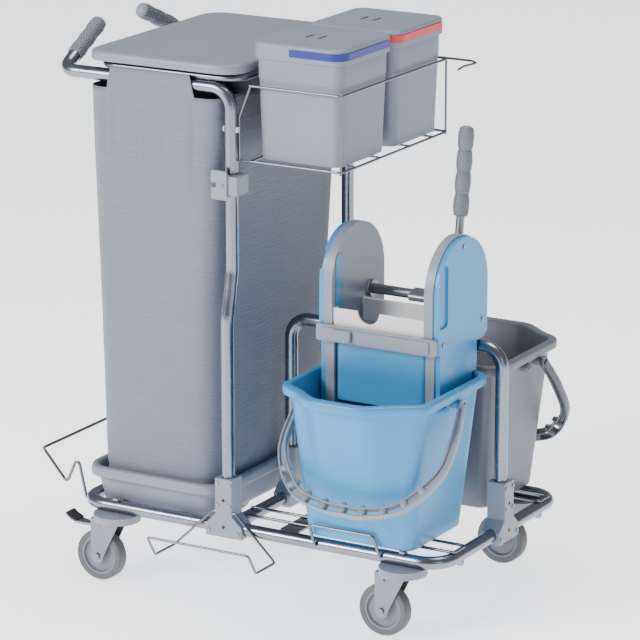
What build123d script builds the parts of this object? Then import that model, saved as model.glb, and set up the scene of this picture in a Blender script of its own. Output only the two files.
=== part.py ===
"""Housekeeping cart with a bag stand, two mop buckets, a press wringer and two small bins.

Millimetres. +X runs along the cart, from the handle end to the bucket end, +Y runs across it and
+Z is up. The origin is on the floor, midway between the four caster stems.
"""

import os
from math import cos, radians, sin, sqrt

from build123d import *

os.makedirs("parts", exist_ok=True)

# ---------------------------------------------------------------- driving dimensions
frame_length = 785.0  # tube centre to tube centre
frame_width = 474.0
frame_corner = 50.0
tube_radius = 12.5
tube_wall = 1.5
rail_height = 152.5  # tube centre above the floor
fit_gap = 0.3  # between pieces that only rest on each other
pin_gap = 0.05  # radial clearance of a hinge pin
wire_radius = 3.0

wheel_radius = 50.0
wheel_width = 25.0
stem_reach = 314.0  # caster stems from the middle of the cart
caster_trail = 37.0
stem_radius = 5.0
cover_radius = 46.0
cover_height = 14.0
tyre_thick = 11.0
tyre_round = 4.0
axle_radius = 4.0
fork_clear = 2.5
fork_plate = 2.5
fork_head_radius = 27.0
fork_foot_width = 28.0
nut_radius = 9.0
nut_height = 8.0
stem_head = 4.5  # low enough for a bucket to stand over it
pedal_pivot = 30.0
pedal_level = 112.0
pedal_pin_radius = 2.5

post_x = -63.0
post_kink_low = 561.0
post_kink_high = 649.0
post_inset = 19.0  # how far the posts step in above the kink
handle_height = 994.0
handle_reach = 369.0  # from the post to the handle's corner
post_bend = 38.0
grip_radius = 14.5
grip_length = 112.0
grip_end = 6.0  # solid end of a grip beyond its tube
grip_run = (-12.0, -138.0, 63.0)  # from a handle's corner to its end
handle_bend = 28.0
post_bolt_level = 919.0
post_bolt_radius = 3.0
post_cap_radius = 5.5
post_cap_thick = 2.5

bracket_depth = 38.0
bracket_neck = 37.0
bracket_foot = 79.0
bracket_height = 115.0
bracket_drop = 3.0  # below the rail
bracket_shoulder = 15.0  # above the rail
bracket_slope = 20.0
bracket_round = 1.5
upright_clear = 6.0  # between the rail and an upright's foot
screw_radius = 3.5
screw_head = 2.0
bracket_screw_places = ((-13.0, 105.0), (13.0, 105.0), (-13.0, 63.0), (13.0, 63.0), (-32.0, 10.0), (32.0, 10.0))

divider_height = 508.0
divider_bend = 38.0

hoop_radius = 6.0
hoop_corner = 36.0
hoop_inset = 2.0  # from the lid's hinged edge to the hoop
lid_over_hoop = 28.0
lid_lift = 3.0  # from the hoop to the lid's skirt
clip_wall = 3.5
clip_width = 30.0
clip_places = (-110.0, 110.0)
bag_left = -372.0
bag_right = -82.0
bag_half_width = 234.0
bag_wall = 2.0
bag_notch_left = 46.0  # cut away round the handle tubes
bag_notch_right = 52.0
tray_left = -392.0
tray_right = -83.0
tray_half_width = 240.0
tray_wall = 3.0
tray_rim_height = 21.0
tray_rim_width = 14.0
tray_corner = 48.0
tray_taper = 8.0
tray_top = 226.0
bag_in_tray = 2.0
bag_corner = 32.0
bag_notch_gap = 8.0
bar_width = 40.0
bar_thick = 4.0
bar_corner = 2.0
tray_bar_places = (-300.0, -165.0)
rack_bar_x = 65.0
rack_wire_y = 152.0
rack_wire_span = 45.0

lid_left = -380.0
lid_right = -46.0
lid_half_width = 232.0
lid_thick = 18.0
lid_wall = 3.0
lid_corner = 45.0
lid_edge = 6.0

bin_left = -26.0
bin_right = 157.0
bin_outer = 196.0
bin_inner = 10.0
bin_floor = 861.8
bin_top = 1062.0
bin_taper = 6.0
bin_wall = 2.5
bin_corner = 20.0
bin_lid_over = 5.5
bin_lid_high = 22.0
bin_lid_skirt = 9.0
bin_lid_edge = 6.0
rim_clear = 0.5  # between a bin's rim and its lid's skirt
groove_depth = 2.5
groove_length = 34.0
groove_width = 7.0
band_thick = 2.4
band_height = 13.0
band_start = 52.0
basket_radius = 2.5
basket_cross_radius = 2.2
basket_side_radius = 2.3
basket_floor_radius = 2.0
basket_top = 1001.0
basket_right = 163.0
basket_half_width = 205.0
basket_bend = 8.0
basket_slope = 59.0  # how far the left wires slant down to the posts
basket_foot = 6.0
basket_clear = 1.5  # from the bins to the left wires
basket_beside = 8.5  # how far inside the post's axis the wires pass it
hook_points = ((51.0, 0.0), (69.0, -15.0), (63.0, -55.0), (69.0, -89.0))

bucket_x = 224.0
bucket_half_length = 155.0
bucket_front = 288.0
bucket_back = 8.0
bucket_bow = 52.0
bucket_base_half = 114.0
bucket_base_front = 248.0
bucket_base_back = 46.0
bucket_height = 293.0
bucket_wall = 3.0
rim_width = 12.0
rim_height = 18.0
bucket_base_corner = 22.0
bucket_rim_corner = 36.0
stud_boss_radius = 9.0
stud_drop = 11.0  # from the rim's underside to the studs
stud_reach = 9.5
bail_pivot = {"front": 141.0, "rear": 192.0}  # distance of the studs in use from the middle
bail_angle = {"front": 42.0, "rear": 35.0}  # lean from straight down
bail_radius = 6.0
bail_drop = 245.0
bail_thick = 7.0
bail_width = 13.0
bail_gap = 1.5
bail_flare = 12.0
bail_bend = 110.0
bail_foot = 95.0
bail_eye_radius = 11.0

wringer_x = 221.5
wringer_half = 125.5
inner_shell_thick = 18.0
outer_shell_inset = 3.0
recess_front = -165.0
recess_rear = -132.0
recess_low = 577.0
recess_high = 694.0
recess_round = 9.0
recess_depth = 4.0
outer_shell_thick = 11.0
plate_front = -172.0
plate_rear = 28.0
arch_centre_z = 635.0
arch_radius = 100.0
wringer_bottom = 402.0
plate_front_low = -164.0
plate_back_low = -31.0
plate_toe = 12.0
plate_chamfer = 11.0
crossbar_low = 530.0
crossbar_high = 561.0
crossbar_thick = 12.0
panel_raise = 3.0
press_basket_low = 415.0
press_basket_high = 528.0
basket_front_y = -162.0
guide_low = 532.0
guide_high = 592.0
guide_front = -168.0
guide_thick = 4.0
guide_flange = 14.0
guide_cut_radius = 23.0
shaft_y = -24.0
shaft_z = 597.0
shaft_radius = 9.5
shaft_end_gap = 3.0
shaft_flange_radius = 17.0
flange_thick = 4.0
bush_radius = 14.0
bush_thick = 3.0
cam_left = 219.0
cam_right = 297.0
cam_base_radius = 13.0
cam_throw = 19.0
cam_tip_radius = 8.0
wringer_screw_places = ((-150.0, 545.0), (5.0, 560.0), (-72.0, 715.0), (-150.0, 425.0), (-50.0, 425.0))
lever_x = 303.0
lever_lean = 7.5
lever_radius = 8.0
lever_boss_radius = 15.0
lever_length = 158.0
lever_grip_radius = 14.5
lever_grip_length = 165.0
jaw_front = -60.0
jaw_thick = 10.0
jaw_low = 545.0
jaw_high = 586.0
jaw_ear = 11.0

guard_y = 260.0
guard_height = 195.0
guard_left = 126.0
guard_right = 262.0
holder_radius = 2.5
holder_half = 111.0
holder_drop = 82.0
holder_shelf = 70.0
holder_clear = 6.5
holder_rise = 21.0  # the pivot above the rail
end_holder_half = 205.0
end_holder_points = ((-19.0, 75.5), (-45.0, 17.5), (-100.0, 79.5))
clip_low = 800.0
clip_high = 835.0
clip_right = -35.0
clip_body_wall = 3.5
clip_body_front = 13.5
clip_plate_left = -90.0
clip_plate_right = -56.0
clip_plate_height = 55.0
clip_plate_thick = 4.0

# ---------------------------------------------------------------- places worked out from them
half_length = frame_length / 2
half_width = frame_width / 2
rail_top = rail_height + tube_radius
rail_bottom = rail_height - tube_radius
upper_post_y = half_width - post_inset
wire_level = rail_top + wire_radius
bucket_base = wire_level + wire_radius
bucket_top = bucket_base + bucket_height
hoop_level = handle_height + tube_radius + hoop_radius
hinge_x = lid_right - hoop_inset
lid_bottom = hoop_level + hoop_radius + lid_lift
tray_floor = rail_height
upright_foot = rail_top + upright_clear
holder_y = -half_width - tube_radius - holder_radius - fit_gap
holder_level = rail_top + holder_rise
bail_level = bucket_top - rim_height - stud_drop
fork_top = rail_bottom - cover_height - fit_gap
inner_face = wringer_half - inner_shell_thick - outer_shell_thick
sides = (("front", -1), ("rear", 1))


def save(part, name):
    """Label a finished piece and write it."""
    part.label = name
    export_step(part, f"parts/{name}.step")


def group(solids):
    """Several separate solids in one node."""
    return Compound(children=list(solids))


def tube(points, radii, outer, wall=0.0):
    """A round tube, or a rod when wall is 0, along straight runs joined by arcs."""
    with BuildPart() as piece:
        with BuildLine() as path:
            if len(points) > 2:
                FilletPolyline(*points, radius=radii)
            else:
                Line(*points)
        with BuildSketch(path.line ^ 0):
            Circle(outer)
            if wall:
                Circle(outer - wall, mode=Mode.SUBTRACT)
        sweep(path=path.line)
    return piece.part


def rod(start, end, radius):
    """A straight round rod between two points."""
    return tube((start, end), None, radius)


def rounded_prism(x_range, y_range, z_range, corner, edge=0.0):
    """An upright block with rounded corners and softened top edges."""
    with BuildPart() as piece:
        with BuildSketch(Plane.XY.offset(z_range[0])):
            with Locations(((x_range[0] + x_range[1]) / 2, (y_range[0] + y_range[1]) / 2)):
                RectangleRounded(x_range[1] - x_range[0], y_range[1] - y_range[0], corner)
        extrude(amount=z_range[1] - z_range[0])
        if edge:
            fillet(piece.edges().group_by(Axis.Z)[-1], edge)
    return piece.part


def tapered_shell(low, high, z_range, corner, wall, floor):
    """An open-topped rectangular vessel, given by its low and high outlines (x0, x1, y0, y1)."""

    def outline(box, inset, level):
        with BuildSketch(Plane.XY.offset(level)) as sketch:
            with Locations(((box[0] + box[1]) / 2, (box[2] + box[3]) / 2)):
                RectangleRounded(box[1] - box[0] - 2 * inset, box[3] - box[2] - 2 * inset, corner - inset)
        return sketch.sketch

    lean = floor / (z_range[1] - z_range[0])
    inner_low = [a + (b - a) * lean for a, b in zip(low, high)]
    with BuildPart() as piece:
        loft([outline(low, 0.0, z_range[0]), outline(high, 0.0, z_range[1])])
        loft(
            [outline(inner_low, wall, z_range[0] + floor), outline(high, wall, z_range[1])],
            mode=Mode.SUBTRACT,
        )
    return piece.part


# ---------------------------------------------------------------- base frame
def make_base_frame():
    """The ring of round tube, drilled for the caster stems."""
    with BuildSketch(Plane.XY.offset(rail_height)) as outline:
        RectangleRounded(frame_length, frame_width, frame_corner)
    path = outline.sketch.faces()[0].outer_wire()
    with BuildPart() as ring:
        with BuildSketch(path ^ 0):
            Circle(tube_radius)
            Circle(tube_radius - tube_wall, mode=Mode.SUBTRACT)
        sweep(path=path)
        with Locations((0, 0, rail_height)):
            with GridLocations(2 * stem_reach, frame_width, 2, 2):
                Cylinder(stem_radius + pin_gap, 4 * tube_radius, mode=Mode.SUBTRACT)
    return ring.part


def make_cross_tube():
    """The tube across the middle of the frame, between the two post brackets."""
    reach = half_width - bracket_depth / 2
    return tube([(post_x, -reach, rail_height), (post_x, reach, rail_height)], None, tube_radius, tube_wall)


def make_support_bars():
    """Flat bars across the frame: two under the tray and one under the rack wires."""
    reach = half_width - tube_radius
    low_bar = tray_floor - fit_gap / 3 - bar_thick
    bars = []
    for x in tray_bar_places:
        bars.append(rounded_prism((x - bar_width / 2, x + bar_width / 2), (-reach, reach),
                                  (low_bar, low_bar + bar_thick), bar_corner))
    level = rail_top - bar_thick
    reach = half_width - sqrt(tube_radius**2 - (level - rail_height) ** 2)
    bars.append(rounded_prism((rack_bar_x - bar_width / 2, rack_bar_x + bar_width / 2), (-reach, reach),
                              (level, rail_top), bar_corner))
    return group(bars)


def make_rack_wire(y_near, y_far):
    """A wire that runs over the frame, turns back at the end rail and returns."""
    x_end = half_length + tube_radius / 2
    points = [(post_x, y_near, wire_level), (x_end, y_near, wire_level)]
    points += [(x_end, y_far, wire_level), (post_x, y_far, wire_level)]
    return tube(points, 8.0, wire_radius)


# ---------------------------------------------------------------- clamp brackets
def make_bracket(x, y, along_x):
    """A bottle-shaped clamp in two halves, bored for the rail and for the upright tube."""
    base = rail_bottom - bracket_drop
    neck = bracket_neck / 2
    foot = bracket_foot / 2
    shoulder = rail_top + bracket_shoulder - base
    edge = shoulder - bracket_slope
    across = (1, 0, 0) if along_x else (0, 1, 0)
    outward = (0, -1, 0) if along_x else (1, 0, 0)
    with BuildPart() as block:
        with BuildSketch(Plane(origin=(x, y, base), x_dir=across, z_dir=outward)):
            with BuildLine():
                Polyline(
                    (-foot, 0), (foot, 0), (foot, edge), (neck, shoulder), (neck, bracket_height),
                    (-neck, bracket_height), (-neck, shoulder), (-foot, edge), close=True,
                )
            make_face()
        extrude(amount=bracket_depth / 2, both=True)
        fillet(block.edges().filter_by(Axis.Z), bracket_round)
        with BuildSketch(Plane(origin=(x, y, rail_height), z_dir=across)):
            Circle(tube_radius + pin_gap)
        extrude(amount=bracket_foot, both=True, mode=Mode.SUBTRACT)
        with BuildSketch(Plane.XY.offset(upright_foot)):
            with Locations((x, y)):
                Circle(tube_radius + pin_gap)
        extrude(amount=bracket_height, mode=Mode.SUBTRACT)
        if along_x and y < 0:
            with BuildSketch(Plane(origin=(x, holder_y, holder_level), z_dir=across)):
                Circle(holder_radius + pin_gap)
            extrude(amount=bracket_neck, both=True, mode=Mode.SUBTRACT)
    halves = []
    for keep in (Keep.TOP, Keep.BOTTOM):
        half = split(block.part, bisect_by=Plane(origin=(x, y, base), z_dir=outward), keep=keep)
        halves += list(half.solids())
    return halves


def make_bracket_screws():
    """Round-headed screws on the outward faces of the clamp brackets."""
    screws = []
    for x, y, outward in (
        (post_x, -half_width, (0, -1, 0)), (post_x, half_width, (0, 1, 0)), (half_length, 0, (1, 0, 0)),
    ):
        for shift, level in bracket_screw_places:
            place = Vector(x, y, rail_bottom - bracket_drop + level)
            place += Vector(*outward) * (bracket_depth / 2)
            place += Vector(shift, 0, 0) if outward[0] == 0 else Vector(0, shift, 0)
            with BuildPart() as screw:
                with BuildSketch(Plane(origin=place, z_dir=outward)):
                    Circle(screw_radius)
                extrude(amount=screw_head)
            screws.append(screw.part)
    return group(screws)


# ---------------------------------------------------------------- posts, handles and hoop
def grip_point(side, share):
    """A point on the handle's last run: share 0 is its corner, 1 its end."""
    start = Vector(post_x - handle_reach, side * upper_post_y, handle_height)
    return start + Vector(grip_run[0], side * grip_run[1], grip_run[2]) * share


def make_post(side):
    """Upright and handle in one tube: it steps inwards, turns over the bag and ends in a grip."""
    lower = side * half_width
    upper = side * upper_post_y
    points = [
        (post_x, lower, upright_foot), (post_x, lower, post_kink_low),
        (post_x, upper, post_kink_high), (post_x, upper, handle_height),
        grip_point(side, 0.0), grip_point(side, 1.0),
    ]
    post = tube(points, [60.0, 60.0, post_bend, handle_bend], tube_radius, tube_wall)
    with BuildPart() as drilled:
        add(post)
        with BuildSketch(Plane(origin=(post_x, upper, post_bolt_level), z_dir=(1, 0, 0))):
            Circle(post_bolt_radius + pin_gap)
        extrude(amount=2 * tube_radius, both=True, mode=Mode.SUBTRACT)
    return drilled.part


def make_grip(side):
    """A plastic sleeve with a rounded end over the end of the handle tube."""
    end = grip_point(side, 1.0)
    direction = (end - grip_point(side, 0.0)).normalized()
    plane = Plane(origin=end - direction * (grip_length - grip_end), z_dir=direction)
    with BuildPart() as sleeve:
        with BuildSketch(plane):
            Circle(grip_radius)
        extrude(amount=grip_length)
        fillet(sleeve.edges().sort_by(Axis(plane.origin, direction))[-1], grip_end)
        with BuildSketch(plane):
            Circle(tube_radius + pin_gap)
        extrude(amount=grip_length - grip_end, mode=Mode.SUBTRACT)
    return sleeve.part


def make_post_bolt(side):
    """The cross bolt with two caps that clamps the bin basket to a post."""
    centre = (post_x, side * upper_post_y, post_bolt_level)
    reach = tube_radius + fit_gap / 3
    with BuildPart() as bolt:
        with BuildSketch(Plane(origin=centre, z_dir=(1, 0, 0))):
            Circle(post_bolt_radius)
        extrude(amount=reach, both=True)
        for end in (-1, 1):
            face = Plane(origin=Vector(*centre) + Vector(end * reach, 0, 0), z_dir=(end, 0, 0))
            with BuildSketch(face):
                Circle(post_cap_radius)
            extrude(amount=post_cap_thick)
    return bolt.part


def make_hoop():
    """The wire hoop on top of the two handle tubes that holds the bag open."""
    x0 = lid_left + lid_over_hoop
    with BuildSketch(Plane.XY.offset(hoop_level)) as outline:
        with Locations(((x0 + hinge_x) / 2, 0)):
            RectangleRounded(hinge_x - x0, 2 * upper_post_y, hoop_corner)
    path = outline.sketch.faces()[0].outer_wire()
    with BuildPart() as hoop:
        with BuildSketch(path ^ 0):
            Circle(hoop_radius)
        sweep(path=path)
    return hoop.part


# ---------------------------------------------------------------- bag, tray and lid
def tray_outline(inset):
    """The tray's outline at its floor, as (x0, x1, y0, y1)."""
    edge = tray_rim_width + tray_taper + inset
    reach = tray_half_width - edge
    return (tray_left + edge, tray_right - edge, -reach, reach)


def make_bag():
    """The bag as an open-topped shell, cut away where the handle tubes leave it."""
    low = tray_outline(tray_wall + bag_in_tray)
    high = (bag_left, bag_right, -bag_half_width, bag_half_width)
    top = hoop_level + hoop_radius
    shell = tapered_shell(low, high, (tray_floor + tray_wall + fit_gap, top), bag_corner, bag_wall, bag_wall)
    notch_level = handle_height - tube_radius - bag_notch_gap
    with BuildPart() as bag:
        add(shell)
        for x0, x1 in ((bag_left, bag_left + bag_notch_left), (bag_right - bag_notch_right, bag_right)):
            with BuildSketch(Plane.XY.offset(notch_level)):
                with Locations(((x0 + x1) / 2, 0)):
                    Rectangle(x1 - x0 + bag_wall, 3 * bag_half_width)
            extrude(amount=top - notch_level + bag_wall, mode=Mode.SUBTRACT)
    return bag.part


def make_tray():
    """The drip tray under the bag, with a rolled rim."""
    low = tray_outline(0.0)
    edge = tray_rim_width
    reach = tray_half_width - edge
    high = (tray_left + edge, tray_right - edge, -reach, reach)
    corner = tray_corner - edge
    shell = tapered_shell(low, high, (tray_floor, tray_top), corner, tray_wall, tray_wall)
    with BuildPart() as tray:
        add(shell)
        with BuildSketch(Plane.XY.offset(tray_top - tray_rim_height)):
            with Locations(((tray_left + tray_right) / 2, 0)):
                RectangleRounded(tray_right - tray_left, 2 * tray_half_width, tray_corner)
                RectangleRounded(high[1] - high[0] - tray_wall, 2 * reach - tray_wall,
                                 corner - tray_wall / 2, mode=Mode.SUBTRACT)
        extrude(amount=tray_rim_height)
    return tray.part


def make_lid():
    """The bag lid: a hollow moulded cover with two clips that turn on the hoop."""
    centre_x = (lid_left + lid_right) / 2
    length = lid_right - lid_left
    clip = hoop_radius + clip_wall
    with BuildPart() as lid:
        with BuildSketch(Plane.XY.offset(lid_bottom)):
            with Locations((centre_x, 0)):
                RectangleRounded(length, 2 * lid_half_width, lid_corner)
        extrude(amount=lid_thick)
        fillet(lid.edges().group_by(Axis.Z)[-1], lid_edge)
        with BuildSketch(Plane.XY.offset(lid_bottom)):
            with Locations((centre_x, 0)):
                RectangleRounded(length - 2 * lid_wall, 2 * (lid_half_width - lid_wall), lid_corner - lid_wall)
        extrude(amount=lid_thick - lid_wall - lid_edge / 2, mode=Mode.SUBTRACT)
        for y in clip_places:
            with BuildSketch(Plane(origin=(hinge_x, y, hoop_level), x_dir=(1, 0, 0), z_dir=(0, 1, 0))):
                Circle(clip)
            extrude(amount=clip_width / 2, both=True)
            with BuildSketch(Plane.XY.offset(hoop_level)):
                with Locations((hinge_x - clip / 2, y)):
                    Rectangle(clip, clip_width)
            extrude(amount=lid_bottom + lid_thick - lid_edge - hoop_level)
        with BuildSketch(Plane(origin=(hinge_x, 0, hoop_level), z_dir=(0, 1, 0))):
            Circle(hoop_radius + pin_gap)
        extrude(amount=lid_half_width, both=True, mode=Mode.SUBTRACT)
    return lid.part


# ---------------------------------------------------------------- bins and their wire basket
def make_basket():
    """A welded wire basket clamped to the posts, with a hook for mop handles at one corner."""
    floor = bin_floor - fit_gap - basket_radius
    left = bin_left - basket_radius - basket_clear
    half = basket_half_width
    top_run = [(left, -half, basket_top), (basket_right, -half, basket_top)]
    top_run += [(basket_right, half, basket_top), (left, half, basket_top)]
    wires = [tube(top_run, basket_bend, basket_radius)]
    wires.append(tube([(x, y, floor) for x, y, z in top_run], basket_bend, basket_radius))
    end = half + basket_cross_radius / 2
    for level in (floor, basket_top):
        wires.append(rod((left, -end, level), (left, end, level), basket_cross_radius))
    corner = basket_bend * (1 - sqrt(0.5))
    for side in (-1, 1):
        beside = (post_x + tube_radius, side * (upper_post_y - basket_beside))
        wires.append(tube([(left + 1.0, side * half, basket_top), (*beside, basket_top - basket_slope),
                           (*beside, floor), (left + 1.0, side * half, floor)], basket_bend / 2,
                          basket_side_radius))
        foot = (basket_right - corner, side * (half - corner))
        wires.append(rod((*foot, floor - basket_foot), (*foot, basket_top + 1.0), basket_side_radius))
        for share in (0.25, 0.75):
            line_y = side * (bin_inner + (bin_outer - bin_inner) * share)
            wires.append(rod((left - 1.0, line_y, floor), (basket_right + 1.0, line_y, floor),
                             basket_floor_radius))
    hook = [(basket_right - 2 * basket_bend, half + 0.4, basket_top + 0.4)]
    hook += [(basket_right + x, half + y, basket_top + 0.4) for x, y in hook_points]
    wires.append(tube(hook, basket_bend, basket_side_radius))
    with BuildPart() as basket:
        add(wires)
    return basket.part


def bin_box(side, spread):
    """The outline of a bin, as (x0, x1, y0, y1), grown by spread on every side."""
    y = sorted((side * (bin_inner - spread), side * (bin_outer + spread)))
    return (bin_left - spread, bin_right + spread, y[0], y[1])


def bin_face(box, corner, level):
    """A rounded rectangle over a bin outline."""
    with BuildSketch(Plane.XY.offset(level)) as sketch:
        with Locations(((box[0] + box[1]) / 2, (box[2] + box[3]) / 2)):
            RectangleRounded(box[1] - box[0], box[3] - box[2], corner)
    return sketch.sketch


def make_bin(side):
    """A small open bin."""
    return tapered_shell(bin_box(side, -bin_taper), bin_box(side, 0.0), (bin_floor, bin_top),
                         bin_corner, bin_wall, bin_wall)


def make_bin_lid(side):
    """A hollow lid that sits over the bin's rim, with two finger grooves."""
    box = bin_box(side, bin_lid_over)
    seat = bin_top + fit_gap
    low = seat - bin_lid_skirt
    top = seat + bin_lid_high
    wall = bin_lid_over - rim_clear
    with BuildPart() as lid:
        extrude(bin_face(box, bin_corner + bin_lid_over, low), amount=top - low)
        fillet(lid.edges().group_by(Axis.Z)[-1], bin_lid_edge)
        extrude(bin_face(bin_box(side, bin_lid_over - wall), bin_corner + bin_lid_over - wall, low),
                amount=bin_lid_skirt, mode=Mode.SUBTRACT)
        extrude(bin_face(bin_box(side, -bin_wall - wall), bin_corner - wall, seat),
                amount=bin_lid_high - bin_lid_edge, mode=Mode.SUBTRACT)
        for share in (0.36, 0.50):
            with BuildSketch(Plane.XY.offset(top - groove_depth)):
                with Locations((box[0] + (box[1] - box[0]) * share, (box[2] + box[3]) / 2)):
                    SlotOverall(groove_length, groove_width, rotation=90)
            extrude(amount=groove_depth, mode=Mode.SUBTRACT)
    return lid.part


def make_bin_band(side):
    """The coloured strip clipped round the lid's outer corner."""
    inner = bin_box(side, bin_lid_over + fit_gap / 3)
    outer = bin_box(side, bin_lid_over + fit_gap / 3 + band_thick)
    corner = bin_corner + bin_lid_over
    low = bin_top + 1.0
    with BuildPart() as band:
        extrude(bin_face(outer, corner + band_thick, low), amount=band_height)
        extrude(bin_face(inner, corner, low), amount=band_height, mode=Mode.SUBTRACT)
        with BuildSketch(Plane.XY.offset(low)):
            with Locations(((outer[0] + band_start) / 2, (outer[2] + outer[3]) / 2)):
                Rectangle(band_start - outer[0], 2 * (outer[3] - outer[2]))
            with Locations(((outer[0] + outer[1]) / 2, outer[3])):
                Rectangle(2 * (outer[1] - outer[0]), 2 * corner)
        extrude(amount=band_height, mode=Mode.SUBTRACT)
    return band.part


# ---------------------------------------------------------------- buckets and bails
def bucket_outline(side, level, half, front, back, bow, corner):
    """One horizontal outline of a bucket, whose outer side bows outwards."""
    y_back = side * back
    y_front = side * front
    turn = corner * (1 - sqrt(0.5))
    with BuildSketch(Plane.XY.offset(level)) as sketch:
        with BuildLine():
            Line((bucket_x - half + corner, y_back), (bucket_x + half - corner, y_back))
            for end in (-1, 1):
                x = bucket_x + end * half
                ThreePointArc((x - end * corner, y_back), (x - end * turn, y_back + side * turn),
                              (x, y_back + side * corner))
                Line((x, y_back + side * corner), (x, y_front - side * corner))
                ThreePointArc((x, y_front - side * corner), (x - end * turn, y_front - side * turn),
                              (x - end * corner, y_front))
            ThreePointArc((bucket_x - half + corner, y_front), (bucket_x, y_front + side * bow),
                          (bucket_x + half - corner, y_front))
        make_face()
    return sketch.sketch


def bucket_wall_outline(side, level, inset):
    """The wall's outline at a height, moved in by inset."""
    share = (level - bucket_base) / bucket_height
    return bucket_outline(
        side, level,
        bucket_base_half + (bucket_half_length - rim_width - bucket_base_half) * share - inset,
        bucket_base_front + (bucket_front - rim_width - bucket_base_front) * share - inset,
        bucket_base_back + (bucket_back + rim_width - bucket_base_back) * share + inset,
        1.0 + (bucket_bow - 5.0) * share,
        bucket_base_corner + (bucket_rim_corner - rim_width - bucket_base_corner) * share - inset,
    )


def make_bucket(name, side):
    """A moulded bucket with a rolled rim and bail studs on both ends."""
    with BuildPart() as bucket:
        loft([bucket_wall_outline(side, bucket_base, 0.0), bucket_wall_outline(side, bucket_top, 0.0)],
             ruled=True)
        extrude(bucket_outline(side, bucket_top - rim_height, bucket_half_length, bucket_front,
                               bucket_back, bucket_bow, bucket_rim_corner), amount=rim_height)
        for end in (-1, 1):
            for place in bail_pivot.values():
                in_use = place == bail_pivot[name]
                start = (bucket_x + end * bucket_base_half, side * place, bail_level)
                with BuildSketch(Plane(origin=start, z_dir=(end, 0, 0))):
                    Circle(stud_boss_radius)
                extrude(amount=bucket_half_length - bucket_base_half)
                with BuildSketch(Plane(origin=start, z_dir=(end, 0, 0))):
                    Circle(bail_radius)
                extrude(amount=bucket_half_length - bucket_base_half + (stud_reach if in_use else 3.0))
        loft([bucket_wall_outline(side, bucket_base + bucket_wall, bucket_wall),
              bucket_wall_outline(side, bucket_top, bucket_wall)], ruled=True, mode=Mode.SUBTRACT)
    return bucket.part


def make_bail(name, side):
    """The carrying bail: a flat bow that hangs on the bucket's studs and leans outwards."""
    lean = radians(bail_angle[name])
    down = Vector(0, side * sin(lean), -cos(lean))
    origin = Vector(bucket_x, side * bail_pivot[name], bail_level)
    plane = Plane(origin=origin, x_dir=(1, 0, 0), z_dir=Vector(1, 0, 0).cross(down))
    eye_face = bucket_half_length + bail_gap
    arm = eye_face + bail_thick / 2
    with BuildPart() as bail:
        with BuildLine(plane) as path:
            FilletPolyline((-arm, 0), (-arm - bail_flare, bail_drop - bail_bend), (-bail_foot, bail_drop),
                           (bail_foot, bail_drop), (arm + bail_flare, bail_drop - bail_bend), (arm, 0),
                           radius=[bail_bend / 2, bail_bend / 2, bail_bend / 2, bail_bend / 2])
        with BuildSketch(Plane(origin=path.line @ 0, x_dir=plane.z_dir, z_dir=path.line % 0)):
            Rectangle(bail_width, bail_thick)
        sweep(path=path.line)
        for end in (-1, 1):
            face = Plane(origin=origin + Vector(end * eye_face, 0, 0), z_dir=(end, 0, 0))
            with BuildSketch(face):
                Circle(bail_eye_radius)
            extrude(amount=bail_thick)
            with BuildSketch(face):
                Circle(bail_radius + pin_gap)
            extrude(amount=2 * bail_thick, both=True, mode=Mode.SUBTRACT)
    return bail.part


# ---------------------------------------------------------------- divider and wire pieces
def make_divider():
    """The bowed tube between the buckets that carries the wringer."""
    points = [(half_length, 0, upright_foot), (half_length, 0, divider_height),
              (post_x, 0, divider_height), (post_x, 0, upright_foot)]
    return tube(points, divider_bend, tube_radius, tube_wall)


def make_guard(side):
    """The small wire fence that keeps a bucket on the rack."""
    foot_y = side * (half_width + tube_radius + wire_radius)
    rail_y = side * guard_y
    points = [(guard_left + 9.0, foot_y, rail_height), (guard_left, rail_y, guard_height),
              (guard_right, rail_y, guard_height), (guard_right + 12.0, foot_y, rail_height)]
    return tube(points, 6.0, wire_radius)


def make_front_holder():
    """The hanging wire shelf for a mop frame; its ends turn in the front clamp."""
    half = [(post_x - bracket_neck / 4, holder_y, holder_level)]
    half.append((post_x - bracket_neck / 2 - holder_clear, holder_y, holder_level))
    half.append((post_x - holder_half, holder_y, holder_level - holder_drop))
    half.append((post_x - holder_half, holder_y - holder_shelf, holder_level - holder_drop))
    half.append((post_x - holder_half, holder_y - holder_shelf - 27.0, holder_level - holder_drop + 42.0))
    mirrored = [(2 * post_x - x, y, z) for x, y, z in reversed(half)]
    return tube(half + mirrored, 7.0, holder_radius)


def make_end_holder():
    """The wire hook across the handle end, fixed to both corners of the frame."""
    offset_y = end_holder_half - (half_width - frame_corner)
    reach = frame_corner + tube_radius + wire_radius
    weld_x = frame_corner - half_length - sqrt(reach**2 - offset_y**2)
    half = [(weld_x, -end_holder_half, rail_height - 6.0)]
    for x, z in end_holder_points:
        half.append((weld_x + x, -end_holder_half, rail_height + z))
    mirrored = [(x, -y, z) for x, y, z in reversed(half)]
    return tube(half + mirrored, 6.0, wire_radius)


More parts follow.
